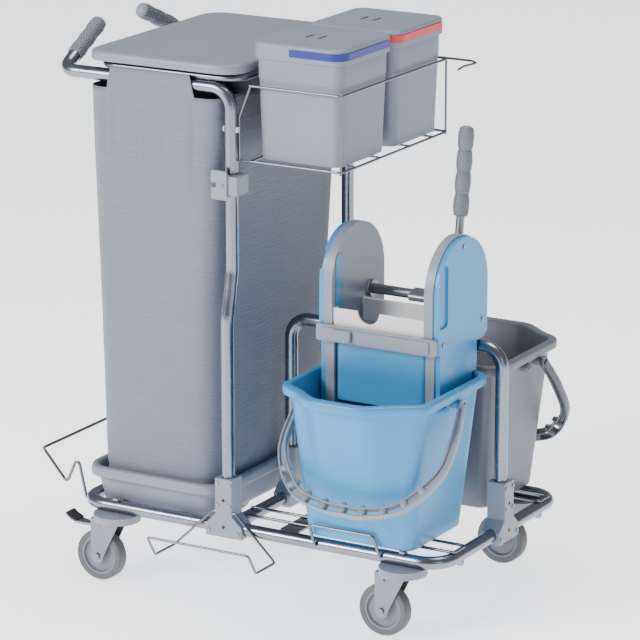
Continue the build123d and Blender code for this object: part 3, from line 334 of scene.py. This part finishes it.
def blockAlong(path, wide, thick, sideways):  # a bar; wide and thick are numbers or one for each point
    rings = []
    count = len(path)
    for i, point in enumerate(path):
        ahead = (path[min(i + 1, count - 1)] - path[max(i - 1, 0)]).normalized()
        across = sideways.normalized()
        other = ahead.cross(across).normalized()
        w = (wide[i] if isinstance(wide, list) else wide) / 2
        t = (thick[i] if isinstance(thick, list) else thick) / 2
        c = min(w, t) * 0.35
        shape = ((w - c, t), (w, t - c), (w, c - t), (w - c, -t),
                 (c - w, -t), (-w, c - t), (-w, t - c), (c - w, t))
        rings.append([point + across * a + other * b for a, b in shape])
    return loftRings(rings)


def disc(centre, axis, radius, height, around=24, edge=0.0):
    axis = Vector(axis).normalized()
    centre = Vector(centre)
    path = [centre, centre + axis * (height - edge), centre + axis * height]
    if edge:
        return tubeAlong([path[0], path[0] + axis * 1e-5, path[1], path[2]],
                         [radius, radius, radius, radius - edge], around)
    return tubeAlong([path[0], path[2]], radius, around)


def softenEdges(piece, width, angle=35):
    bevel = piece.modifiers.new("edge", "BEVEL")
    bevel.width = width
    bevel.segments = 2
    bevel.limit_method = "ANGLE"
    bevel.angle_limit = radians(angle)


# buckets
bucket = {"middleX": 0.224, "halfTop": 0.155, "front": 0.288, "back": 0.008, "bow": 0.052,
          "halfBase": 0.114, "frontBase": 0.248, "backBase": 0.046, "base": 0.171, "top": 0.464,
          "rim": 0.018, "lip": 0.012, "wall": 0.003, "cornerTop": 0.040, "cornerBase": 0.024,
          "studs": (0.141, 0.192), "studLevel": 0.435, "studFrom": 0.139, "boss": (0.0088, 0.0155),
          "stud": (0.0058, 0.0190)}


def bucketWall(side, z, inset):
    share = (z - bucket["base"]) / (bucket["top"] - bucket["base"])

    def between(low, high):
        return low + (high - low) * share

    half = between(bucket["halfBase"], bucket["halfTop"] - bucket["lip"]) - inset
    front = side * (between(bucket["frontBase"], bucket["front"] - bucket["lip"]) - inset)
    back = side * (between(bucket["backBase"], bucket["back"] + bucket["lip"]) + inset)
    corner = between(bucket["cornerBase"], bucket["cornerTop"] - bucket["lip"] * 0.6) - inset * 0.5
    return roundedRing(bucket["middleX"] - half, bucket["middleX"] + half, min(front, back),
                       max(front, back), corner, z, (bucket["bow"] - 0.005) * share, side)


def bucketRim(side, z, inset):
    half = bucket["halfTop"] - inset
    ys = sorted((side * (bucket["front"] - inset), side * (bucket["back"] + inset)))
    return roundedRing(bucket["middleX"] - half, bucket["middleX"] + half, ys[0], ys[1],
                       bucket["cornerTop"] - inset * 0.6, z, bucket["bow"], side)


def makeBucket(name, side, material):
    top, base, rim, lip = bucket["top"], bucket["base"], bucket["rim"], bucket["lip"]
    rings = [bucketWall(side, base + 0.0015, 0.016), bucketWall(side, base, 0.012),
             bucketWall(side, base, 0.004), bucketWall(side, base + 0.002, 0.0008)]
    levels = [base + 0.006 + (top - rim - base - 0.010) * i / 10 for i in range(11)]
    rings += [bucketWall(side, z, 0.0) for z in levels]
    under = top - rim
    rings += [bucketWall(side, under, -0.0006), bucketRim(side, under, 0.0105),
              bucketRim(side, under, 0.002),
              bucketRim(side, under + 0.0008, 0.0006), bucketRim(side, under + 0.003, 0.0),
              bucketRim(side, top - 0.005, 0.0), bucketRim(side, top - 0.002, 0.0010),
              bucketRim(side, top - 0.0005, 0.0032), bucketRim(side, top, 0.006),
              bucketRim(side, top, lip), bucketWall(side, top - 0.0008, bucket["wall"] * 0.6),
              bucketWall(side, top - 0.004, bucket["wall"])]
    rings += [bucketWall(side, z, bucket["wall"]) for z in reversed(levels[:-1])]
    rings += [bucketWall(side, base + 0.0045, 0.006), bucketWall(side, base + 0.0035, 0.016)]
    parts = [loftRings(rings)]
    for end in (-1, 1):
        for place in bucket["studs"]:
            start = Vector((bucket["middleX"] + end * bucket["studFrom"], side * place, bucket["studLevel"]))
            parts.append(disc(start, (end, 0, 0), *bucket["boss"], 28, 0.0012))
            parts.append(disc(start, (end, 0, 0), *bucket["stud"], 24, 0.0008))
    piece = addPiece(name + "PailShell", *joinParts(parts), material)
    fixNormals(piece)
    return piece


# bails
bail = {"lean": {"front": 42.0, "rear": 35.0}, "pivot": {"front": 0.141, "rear": 0.192}, "reach": 0.160,
        "drop": 0.245, "windows": 8, "teeth": 9, "deep": 0.0165, "tooth": 0.0095}


def bailPath(steps=160):
    # the bow in its own plane, across and down from the pivots
    reach, drop = bail["reach"], bail["drop"]
    control = [(-reach, 0.0), (-reach - 0.010, 0.075), (-reach - 0.004, 0.150), (-0.112, 0.222),
               (-0.045, drop), (0.0, drop + 0.0015), (0.045, drop), (0.112, 0.222), (reach + 0.004, 0.150),
               (reach + 0.010, 0.075), (reach, 0.0)]
    curve = []
    for i in range(steps + 1):
        t = i / steps * (len(control) - 1)
        k = min(int(t), len(control) - 2)
        u = t - k
        p = [Vector(control[min(max(k + d, 0), len(control) - 1)]) for d in (-1, 0, 1, 2)]
        curve.append(0.5 * (2 * p[1] + (p[2] - p[0]) * u + (2 * p[0] - 5 * p[1] + 4 * p[2] - p[3]) * u * u
                            + (3 * p[1] - p[0] - 3 * p[2] + p[3]) * u**3))
    return curve


def makeBail(name, side, material):
    lean = radians(bail["lean"][name])
    origin = Vector((bucket["middleX"], side * bail["pivot"][name], bucket["studLevel"]))
    down = Vector((0, side * sin(lean), -cos(lean)))
    across = Vector((1, 0, 0))
    outward = across.cross(down)

    def place(flat):
        return origin + across * flat.x + down * flat.y

    curve = bailPath()
    parts = []
    inward = []
    for i, flat in enumerate(curve):
        ahead = (curve[min(i + 1, len(curve) - 1)] - curve[max(i - 1, 0)]).normalized()
        inward.append(Vector((ahead.y, -ahead.x)))
    grip = [i for i, flat in enumerate(curve) if abs(flat.x) < 0.146 and flat.y > 0.12]
    travel = [0.0]
    for i in range(1, len(curve)):
        travel.append(travel[-1] + (curve[i] - curve[i - 1]).length)

    def gripIndex(share):
        target = travel[grip[0]] + (travel[grip[-1]] - travel[grip[0]]) * share
        return min(range(len(curve)), key=lambda i: abs(travel[i] - target))

    depth = [0.0040 + 0.0022 * min(1.0, flat.y / 0.06) + 0.0040 * min(1.0, max(0.0, (flat.y - 0.13) / 0.06))
             for flat in curve]
    for shift in (0.0, 1.0):
        line = [place(flat + inward[i] * (depth[i] * (1 - 2 * shift) * 0.80))
                for i, flat in enumerate(curve)]
        parts.append(blockAlong(line, bail["deep"], 0.0038, outward))
    web = [place(flat) for i, flat in enumerate(curve) if i <= grip[0]]
    parts.append(blockAlong(web, 0.008, 0.0112, outward))
    web = [place(flat) for i, flat in enumerate(curve) if i >= grip[-1]]
    parts.append(blockAlong(web, 0.008, 0.0112, outward))
    for n in range(bail["windows"] + 1):
        i = gripIndex(n / bail["windows"])
        a = place(curve[i] + inward[i] * depth[i] * 0.8)
        b = place(curve[i] - inward[i] * depth[i] * 0.8)
        parts.append(blockAlong([a, b], bail["deep"] - 0.001, 0.015, outward))
    for n in range(bail["teeth"]):
        i = gripIndex(n / (bail["teeth"] - 1))
        top = curve[i] + inward[i] * (depth[i] * 0.80)
        parts.append(blockAlong([place(top), place(top + inward[i] * bail["tooth"])], [0.013, 0.008],
                                [0.017, 0.002], outward))
    for end in (-1, 1):
        eye = origin + across * end * 0.1565
        ring = []
        for radius, height in ((0.0061, 0.0), (0.011, 0.0), (0.0118, 0.001), (0.0118, 0.006), (0.011, 0.007),
                               (0.0061, 0.007)):
            centre = eye + across * end * height
            ring.append([centre + (down * cos(tau * j / 28) + outward * sin(tau * j / 28)) * radius
                         for j in range(28)])
        points = [p for r in ring for p in r]
        parts.append((points, ringFaces(6, 28, closedLoop=True)))
    piece = addPiece(name + "BailBow", *joinParts(parts), material)
    fixNormals(piece)
    softenEdges(piece, 0.0004, 50)
    return piece


for name, side, finishName in (("front", -1, "blue"), ("rear", 1, "bucketGrey")):
    shell = makeBucket(name, side, finish[finishName])
    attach(shell, name + "_pail")
    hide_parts(name + "_bucket")
    bow = makeBail(name, side, finish["grey" if side < 0 else "bailGrey"])
    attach(bow, name + "_handle")
    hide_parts(name + "_bail")
print("buckets and bails made")


# bins, bin lids, tray and bag lid
smallBin = {"x": (-0.026, 0.157), "y": (0.010, 0.196), "floor": 0.8618, "top": 1.062, "taper": 0.006,
            "corner": 0.020, "step": 0.150, "wall": 0.0025}


def binRing(side, z, inset, extra=0.0):
    ys = sorted((side * smallBin["y"][0], side * smallBin["y"][1]))
    share = 1 - (z - smallBin["floor"]) / (smallBin["top"] - smallBin["floor"])
    move = smallBin["taper"] * share + inset
    return roundedRing(smallBin["x"][0] + move, smallBin["x"][1] - move, ys[0] + move, ys[1] - move,
                       smallBin["corner"] - inset * 0.6 + extra, z, steps=4)


def makeBin(name, side):
    low, top, wall = smallBin["floor"], smallBin["top"], smallBin["wall"]
    step = low + smallBin["step"]
    rings = [binRing(side, low + 0.0012, 0.012), binRing(side, low, 0.010), binRing(side, low, 0.0035),
             binRing(side, low + 0.0012, 0.0010), binRing(side, low + 0.004, 0.0)]
    rings += [binRing(side, low + 0.01 + 0.013 * i, 0.0) for i in range(11)]
    rings += [binRing(side, step - 0.001, 0.0), binRing(side, step, -0.0006),
              binRing(side, step + 0.004, -0.0008),
              binRing(side, top - 0.002, 0.0), binRing(side, top, 0.0006), binRing(side, top, 0.0020),
              binRing(side, top - 0.001, wall)]
    rings += [binRing(side, top - 0.02 * i, wall) for i in range(1, 9)]
    rings += [binRing(side, low + 0.006, 0.0035), binRing(side, low + 0.003, 0.010)]
    piece = addPiece(name + "BinShell", *loftRings(rings), finish["bin"])
    fixNormals(piece)
    return piece


bagLid = {"right": -0.046, "skirt": 1.0215, "hinge": (-0.048, 1.0125), "clips": (-0.110, 0.110),
          "clipWidth": 0.030, "clipBore": 0.00605, "clipRound": 0.0095}


def makeBagLid():
    low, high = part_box("bag_lid")
    low = Vector(low)
    high = Vector((bagLid["right"], high[1], high[2]))
    skirt = bagLid["skirt"]
    top = high.z

    def ring(inset, z, corner):
        return roundedRing(low.x + inset, high.x - inset, low.y + inset, high.y - inset, corner, z, steps=10)

    rings = [ring(0.0030, skirt, 0.040), ring(0.0006, skirt, 0.043), ring(0.0, skirt + 0.0008, 0.044),
             ring(0.0002, top - 0.008, 0.044), ring(0.0008, top - 0.0045, 0.044),
             ring(0.0024, top - 0.0019, 0.042),
             ring(0.0050, top - 0.0006, 0.040), ring(0.009, top, 0.037), ring(0.016, top + 0.0002, 0.032),
             ring(0.060, top + 0.0012, 0.020), ring(0.120, top + 0.0016, 0.012)]
    under = [ring(0.0030, skirt + 0.0005, 0.040), ring(0.0032, top - 0.004, 0.040),
             ring(0.12, top - 0.003, 0.012)]
    parts = [loftRings(list(reversed(under)) + rings)]
    wide, bore, full = bagLid["clipWidth"], bagLid["clipBore"], bagLid["clipRound"]
    for y in bagLid["clips"]:
        centre = Vector((bagLid["hinge"][0], y - wide / 2, bagLid["hinge"][1]))
        collar = []
        for along, radius in ((0, bore), (0, full - 0.0007), (0.0008, full), (wide - 0.0008, full),
                              (wide, full - 0.0007), (wide, bore)):
            collar += [centre + Vector((radius * cos(tau * j / 28), along, radius * sin(tau * j / 28)))
                       for j in range(28)]
        parts.append((collar, ringFaces(6, 28, closedLoop=True)))
        foot = [centre + Vector((-0.0055, wide / 2, z)) for z in (0.0070, 0.0210)]
        parts.append(blockAlong(foot, wide, 0.008, Vector((0, 1, 0))))
    piece = addPiece("bagCover", *joinParts(parts), finish["lid"])
    fixNormals(piece)
    return piece


tray = {"x": (-0.392, -0.083), "y": 0.240, "floor": 0.1525, "top": 0.226, "rim": 0.021, "lip": 0.014,
        "taper": 0.008, "corner": 0.048, "wall": 0.003}


def makeTray():
    def ring(inset, z, corner):
        return roundedRing(tray["x"][0] + inset, tray["x"][1] - inset, inset - tray["y"], tray["y"] - inset,
                           corner, z, steps=12)

    lip, wall, top, floor = tray["lip"], tray["wall"], tray["top"], tray["floor"]
    full = lip + tray["taper"]
    rings = [ring(full + 0.012, floor + 0.001, 0.022), ring(full + 0.004, floor, 0.030),
             ring(full, floor + 0.003, 0.034)]
    rings += [ring(full - tray["taper"] * i / 5, floor + 0.01 + 0.008 * i, 0.034) for i in range(6)]
    low = top - tray["rim"]
    rings += [ring(0.004, low, 0.045), ring(0.001, low + 0.0006, 0.047), ring(0.0, low + 0.003, 0.048),
              ring(0.0002, top - 0.007, 0.048), ring(0.0015, top - 0.003, 0.047),
              ring(0.0045, top - 0.0006, 0.045), ring(0.0085, top, 0.041),
              ring(lip - 0.0015, top - 0.0006, 0.036), ring(lip + 0.001, top - 0.003, 0.034)]
    rings += [ring(lip + wall + tray["taper"] * i / 5, top - 0.006 - 0.012 * i, 0.031) for i in range(6)]
    rings += [ring(full + 0.012, floor + wall + 0.0002, 0.022)]
    piece = addPiece("dripTray", *loftRings(rings), finish["bin"])
    fixNormals(piece)
    return piece


for name, side in (("front", -1), ("rear", 1)):
    shell = makeBin(name, side)
    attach(shell, name + "_small_bin")
    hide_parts(name + "_bin")
cover = makeBagLid()
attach(cover, "bag_cover")
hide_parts("bag_lid")
dripTray = makeTray()
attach(dripTray, "cart")
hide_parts("bag_tray")
print("bins, lid and tray made")


# grips with swells and raised studs
def geometryTree(name, inputs):
    tree = bpy.data.node_groups.new(name, "GeometryNodeTree")
    tree.interface.new_socket("Geometry", in_out="INPUT", socket_type="NodeSocketGeometry")
    for key, kind, value in inputs:
        socket = tree.interface.new_socket(key, in_out="INPUT", socket_type=kind)
        socket.default_value = value
    tree.interface.new_socket("Geometry", in_out="OUTPUT", socket_type="NodeSocketGeometry")
    source = tree.nodes.new("NodeGroupInput")
    sockets = {key: Sock(tree, source.outputs[key]) for key, kind, value in inputs}
    return tree, sockets


def endTree(tree, geometry, material):
    real = geometry.make("GeometryNodeRealizeInstances", {0: geometry})
    done = real.make("GeometryNodeSetMaterial", {"Geometry": real, "Material": material})
    out = tree.nodes.new("NodeGroupOutput")
    tree.links.new(done.out, out.inputs[0])


def studTree(name, material):
    # rows of small blocks round a swelling sleeve along Z
    tree, value = geometryTree(name, [
        ("Rows", "NodeSocketInt", 30), ("Columns", "NodeSocketInt", 24), ("Length", "NodeSocketFloat", 0.1),
        ("Radius", "NodeSocketFloat", 0.013), ("Swell", "NodeSocketFloat", 0.002),
        ("Waves", "NodeSocketFloat", 3.0), ("Stud Size", "NodeSocketVector", (0.001, 0.003, 0.005))])
    start = value["Rows"]
    index = start.make("GeometryNodeInputIndex")
    row = start.sum("FLOOR", index / value["Columns"])
    column = index - row * value["Columns"]
    angle = (column + start.sum("MODULO", row, 2.0) * 0.5) * tau / value["Columns"]
    z = (row + 0.5) * value["Length"] / value["Rows"]
    wave = start.sum("ABSOLUTE", start.sum("SINE", z * pi * value["Waves"] / value["Length"]))
    r = value["Radius"] + value["Swell"] * (wave ** 0.6)
    x = r * start.sum("COSINE", angle)
    y = r * start.sum("SINE", angle)
    place = start.make("ShaderNodeCombineXYZ", {0: x, 1: y, 2: z})
    points = start.make("GeometryNodePoints", {"Count": value["Rows"] * value["Columns"], "Position": place})
    stud = start.make("GeometryNodeMeshCube", {"Size": value["Stud Size"]})
    turned = start.make("ShaderNodeCombineXYZ", {2: angle})
    turned = start.make("FunctionNodeEulerToRotation", {0: turned})
    studs = start.make("GeometryNodeInstanceOnPoints",
                       {"Points": points, "Instance": stud, "Rotation": turned})
    endTree(tree, studs, material)
    return tree


def bake(piece, tree, values):
    modifier = piece.modifiers.new("pattern", "NODES")
    modifier.node_group = tree
    for item in tree.interface.items_tree:
        if item.in_out == "INPUT" and item.name in values:
            modifier[item.identifier] = values[item.name]
    depsgraph = bpy.context.evaluated_depsgraph_get()
    mesh = bpy.data.meshes.new_from_object(piece.evaluated_get(depsgraph))
    piece.modifiers.remove(modifier)
    return mesh


def emptyPiece(name):
    piece = bpy.data.objects.new(name, bpy.data.meshes.new(name))
    bpy.context.scene.collection.objects.link(piece)
    return piece


grips = {
    "handle": {"length": 0.112, "radius": 0.0124, "swell": 0.0026, "waves": 3.0, "rows": 17, "columns": 18,
               "stud": (0.0018, 0.0030, 0.0048), "look": "grip"},
    # the lever's studs are dark blocks in dimpleShade: painted shade in the grip's dimples
    "lever": {"length": 0.165, "radius": 0.0118, "swell": 0.0030, "waves": 4.0, "rows": 40, "columns": 16,
              "stud": (0.0012, 0.0021, 0.0019), "look": "dimple"},
}
studs = {look: studTree(look + "Studs", finish[look]) for look in ("grip", "dimple")}


def makeGrip(name, kind, start, direction):
    size = grips[kind]
    turn = Vector((0, 0, 1)).rotation_difference(Vector(direction).normalized()).to_matrix().to_4x4()
    matrix = Matrix.Translation(Vector(start)) @ turn
    steps = 60
    path, radius = [], []
    length = size["length"]
    for i in range(steps + 1):
        z = length * i / steps
        lump = abs(sin(pi * size["waves"] * z / length)) ** 0.6
        path.append(Vector((0, 0, z)))
        radius.append(size["radius"] - 0.0002 + size["swell"] * lump)
    radius[0] = size["radius"] - 0.0010
    path += [Vector((0, 0, length + 0.0005)), Vector((0, 0, length + 0.002))]
    radius += [size["radius"] - 0.0006, size["radius"] - 0.0030]
    holder = emptyPiece(name + "Studs")
    holder.data = bake(holder, studs[size["look"]], {
        "Rows": size["rows"], "Columns": size["columns"], "Length": length, "Radius": size["radius"],
        "Swell": size["swell"], "Waves": size["waves"], "Stud Size": size["stud"]})
    holder.data.transform(matrix)
    points, faces = tubeAlong(path, radius, 40)
    piece = addPiece(name, [matrix @ Vector(p) for p in points], faces, finish["grip"])
    fixNormals(piece)
    end = matrix @ Vector((0, 0, length + 0.0012))
    cap = disc(end, turn @ Vector((0, 0, 1)), size["radius"] - 0.0035, 0.0018, 32, 0.0008)
    cap = addPiece(name + "Cap", *cap, finish["grey"])
    fixNormals(cap)
    return piece, cap, holder


handleEnd = {"corner": (-0.432, 0.218, 0.994), "run": (-0.012, -0.138, 0.063)}
gripPieces = []
for name, side in (("front", -1), ("rear", 1)):
    run = Vector((handleEnd["run"][0], side * handleEnd["run"][1], handleEnd["run"][2]))
    end = Vector((handleEnd["corner"][0], side * handleEnd["corner"][1], handleEnd["corner"][2])) + run
    start = end - run.normalized() * (grips["handle"]["length"] - 0.006)
    gripPieces += makeGrip(name + "HandleGrip", "handle", start, run)
for piece in gripPieces:
    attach(piece, "cart")
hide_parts("handle_grips")
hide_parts("handle_grips")
lever = {"lean": radians(7.5), "axis": (0.303, -0.024, 0.597), "gripFrom": 0.158}
leverWay = Vector((0, sin(lever["lean"]), cos(lever["lean"])))
leverStart = Vector(lever["axis"]) + leverWay * lever["gripFrom"]
leverSleeve = makeGrip("leverSleeve", "lever", leverStart, leverWay)
for piece in leverSleeve:
    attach(piece, "press")
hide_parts("lever_grip")
print("grips made")


# pedals, painted hole shade on the brackets and the wringer's finger recess
pedal = {"stem": 0.314, "track": 0.237, "pivot": 0.030, "level": 0.112, "pin": 0.0025, "reach": 0.0148,
         "arm": ((0.004, 0.0), (-0.018, -0.002), (-0.040, -0.0035), (-0.056, -0.002), (-0.068, 0.003),
                 (-0.079, 0.011)), "wide": (0.020, 0.021, 0.022, 0.026, 0.029, 0.028)}


def makePedal(name, side):
    pivot = Vector((-pedal["stem"] - pedal["pivot"], side * pedal["track"], pedal["level"]))
    across = Vector((0, 1, 0))
    path = [pivot + Vector((x, 0, z)) for x, z in pedal["arm"]]
    arm = blockAlong(path, list(pedal["wide"]), 0.0045, across)
    pin = disc(pivot - across * (pedal["reach"] + 0.0025), across, pedal["pin"], 2 * pedal["reach"] + 0.005)
    piece = addPiece(name + "PedalArm", *joinParts([arm, pin]), finish["zinc"])
    lift = Vector((-0.001, 0, 0.003))
    pad = addPiece(name + "PedalPad", *blockAlong([p + lift for p in path[3:]], 0.0295, 0.0045, across),
                   finish["dark"])
    for part in (piece, pad):
        fixNormals(part)
        softenEdges(part, 0.0006)
        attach(part, name + "_left_brake")
    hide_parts(name + "_left_pedal")


makePedal("front", -1)
makePedal("rear", 1)
bracketFace = 0.256  # from the middle of the cart to a post bracket's outer face
# each bracket hole is a flat near-black disc on the face: painted shade where the hole is
hole = {"levels": (0.157, 0.210), "postX": -0.063, "endX": 0.4114, "size": (0.0032, 0.0005)}
holes = []
for level in hole["levels"]:
    for side in (-1, 1):
        spot = (hole["postX"], side * (bracketFace - 0.0001), level)
        holes.append(disc(spot, (0, side, 0), *hole["size"]))
    holes.append(disc((hole["endX"], 0, level), (1, 0, 0), *hole["size"]))
holeShadeDiscs = addPiece("bracketHoleShade", *joinParts(holes), finish["dark"])
fixNormals(holeShadeDiscs)
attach(holeShadeDiscs, "cart")
recess = {"face": 0.125, "y": (-0.159, -0.132), "z": (0.577, 0.692), "proud": 0.0004}


def recessPanel(name, inset, proud, material):
    low, high = recess["y"][0] + inset, recess["y"][1] - inset
    flat = roundedRing(low, high, recess["z"][0] + inset, recess["z"][1] - inset, (high - low) * 0.46, 0)
    rings = [[Vector((recess["face"] + x, p.x, p.y)) for p in flat] for x in (-0.001, proud)]
    piece = addPiece(name, *loftRings(rings), material, False)
    fixNormals(piece)
    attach(piece, "wringer")


# the dark rim round the blue floor is painted shade on the recess wall
recessPanel("recessShadeRim", 0.0, recess["proud"], finish["bailGrey"])
recessPanel("recessFloor", 0.0014, recess["proud"] * 2, finish["blue"])
print("pedals and details made")


# laundry bag
bag = {"x": (-0.372, -0.082), "y": 0.234, "lowX": (-0.365, -0.112), "lowY": 0.210, "floor": 0.158,
       "top": 1.016, "notch": 0.973, "notchX": (-0.326, -0.134), "corner": 0.030, "cloth": 0.0014,
       "rows": 84, "frames": 16, "limit": 0.006, "mass": 0.3, "stretch": 20, "squeeze": 12, "bend": 0.3,
       "slack": -0.012, "air": 0.4}


def bagColumnTop(point):
    # the front and back panels run up over the handle tubes between two cut-outs
    if abs(point.y) < bag["y"] - 0.012:
        return bag["notch"]
    into = min(point.x - bag["notchX"][0], bag["notchX"][1] - point.x)
    share = min(max(into / 0.009, 0.0), 1.0)
    return bag["notch"] + (bag["top"] - bag["notch"]) * share * share * (3 - 2 * share)


def makeBag():
    highRing = roundedRing(*bag["x"], -bag["y"], bag["y"], bag["corner"], 0, steps=44, turn=7)
    lowRing = roundedRing(*bag["lowX"], -bag["lowY"], bag["lowY"], bag["corner"] - 0.004, 0,
                          steps=44, turn=7)
    around = len(highRing)
    rings = []
    middle = Vector((sum(bag["lowX"]) / 2, 0, 0))
    for inset in (0.75, 0.45, 0.18, 0.06):
        rings.append([p.lerp(middle, inset) + Vector((0, 0, bag["floor"])) for p in lowRing])
    for i in range(bag["rows"] + 1):
        share = i / bag["rows"]
        ring = []
        for j in range(around):
            top = bagColumnTop(highRing[j])
            z = bag["floor"] + 0.002 + (top - bag["floor"] - 0.002) * share
            mixed = lowRing[j].lerp(highRing[j], (z - bag["floor"]) / (bag["top"] - bag["floor"]))
            ring.append(Vector((mixed.x, mixed.y, z)))
        rings.append(ring)
    points = [p for ring in rings for p in ring]
    faces = ringFaces(len(rings), around)
    faces.append(tuple(range(around))[::-1])
    piece = addPiece("laundryBagCloth", points, faces, finish["bag"])
    start = [v.co.copy() for v in piece.data.vertices]
    pins = piece.vertex_groups.new(name="pins")
    firstTop = (len(rings) - 5) * around
    pins.add(list(range(firstTop, len(points))), 1.0, "REPLACE")
    pins.add(list(range(0, 6 * around)), 1.0, "REPLACE")
    cloth = piece.modifiers.new("cloth", "CLOTH")
    cloth.settings.vertex_group_mass = "pins"
    cloth.settings.quality = 5
    cloth.settings.mass = bag["mass"]
    cloth.settings.tension_stiffness = bag["stretch"]
    cloth.settings.compression_stiffness = bag["squeeze"]
    cloth.settings.bending_stiffness = bag["bend"]
    cloth.settings.shrink_min = bag["slack"]
    cloth.settings.use_pressure = True
    cloth.settings.uniform_pressure_force = bag["air"]
    cloth.collision_settings.use_collision = False
    cloth.point_cache.frame_end = bag["frames"]
    for frameNumber in range(1, bag["frames"] + 1):
        bpy.context.scene.frame_set(frameNumber)
    settled = piece.evaluated_get(bpy.context.evaluated_depsgraph_get()).to_mesh()
    moved = [v.co.copy() for v in settled.vertices]
    piece.modifiers.remove(cloth)
    bpy.context.scene.frame_set(1)
    for vertex, old, new in zip(piece.data.vertices, start, moved):
        shift = new - old
        if shift.length > bag["limit"]:
            shift *= bag["limit"] / shift.length
        vertex.co = old + shift
    fixNormals(piece)
    solid = piece.modifiers.new("cloth", "SOLIDIFY")
    solid.thickness = bag["cloth"]
    solid.offset = -1.0
    mesh = bpy.data.meshes.new_from_object(piece.evaluated_get(bpy.context.evaluated_depsgraph_get()))
    piece.modifiers.remove(solid)
    piece.data = mesh
    return piece


bagPiece = makeBag()
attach(bagPiece, "cart")
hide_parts("laundry_bag")
print("bag made")


# camera, floor and lights
view = {"target": (-0.0197, 0.0346, 0.5), "azimuth": 29.95, "elevation": 15.36, "distance": 7.1119,
        "lens": 207.86}
cameraData = bpy.data.cameras.new("studioCamera")
cameraData.lens = view["lens"]
cameraData.sensor_width = 36.0
cameraData.clip_end = 60.0
camera = bpy.data.objects.new("studioCamera", cameraData)
az, el = radians(view["azimuth"]), radians(view["elevation"])
away = Vector((sin(az) * cos(el), -cos(az) * cos(el), sin(el)))
camera.location = Vector(view["target"]) + away * view["distance"]
camera.rotation_euler = away.to_track_quat("Z", "Y").to_euler()
bpy.context.scene.collection.objects.link(camera)
bpy.context.scene.camera = camera

studio = {"reach": 30, "floorGlow": 1.7, "worldLight": 0.36}
floorMaterial, floorShader, floorPlace = startFinish("paleFloor")
plug(floorShader, Base_Color=blendColours(noise(floorPlace, 3.0), (0.86, 0.86, 0.87), (0.90, 0.90, 0.91)),
     Roughness=noise(floorPlace, 40.0).spread(0.3, 0.7, 0.55, 0.65))
floorShader.inputs["Emission Color"].default_value = (0.95, 0.97, 1.0, 1)
floorShader.inputs["Emission Strength"].default_value = studio["floorGlow"]
reach = studio["reach"]
corners = [(-reach, -reach, 0), (reach, -reach, 0), (reach, reach, 0), (-reach, reach, 0)]
floor = addPiece("studioFloor", corners, [(0, 1, 2, 3)], floorMaterial, False)

world = bpy.data.worlds.new("studio")
world.use_nodes = True
world.node_tree.nodes["Background"].inputs[0].default_value = (0.92, 0.94, 1.0, 1)
world.node_tree.nodes["Background"].inputs[1].default_value = studio["worldLight"]
bpy.context.scene.world = world

lamps = {  # place, aim, size, power
    "key": ((-2.4, -4.4, 3.0), (0, 0, 0.5), 1.8, 310.0),
    "fill": ((4.4, -2.4, 1.8), (0, 0, 0.5), 1.6, 14.0),
    "top": ((0.4, 0.6, 4.4), (0, 0, 0.4), 2.4, 120.0),
}
for name, (spot, aim, size, power) in lamps.items():
    lampData = bpy.data.lights.new(name, "AREA")
    lampData.energy = power
    lampData.size = size
    lamp = bpy.data.objects.new(name, lampData)
    lamp.location = spot
    lamp.rotation_euler = (Vector(spot) - Vector(aim)).to_track_quat("Z", "Y").to_euler()
    bpy.context.scene.collection.objects.link(lamp)
print("camera and lights set")
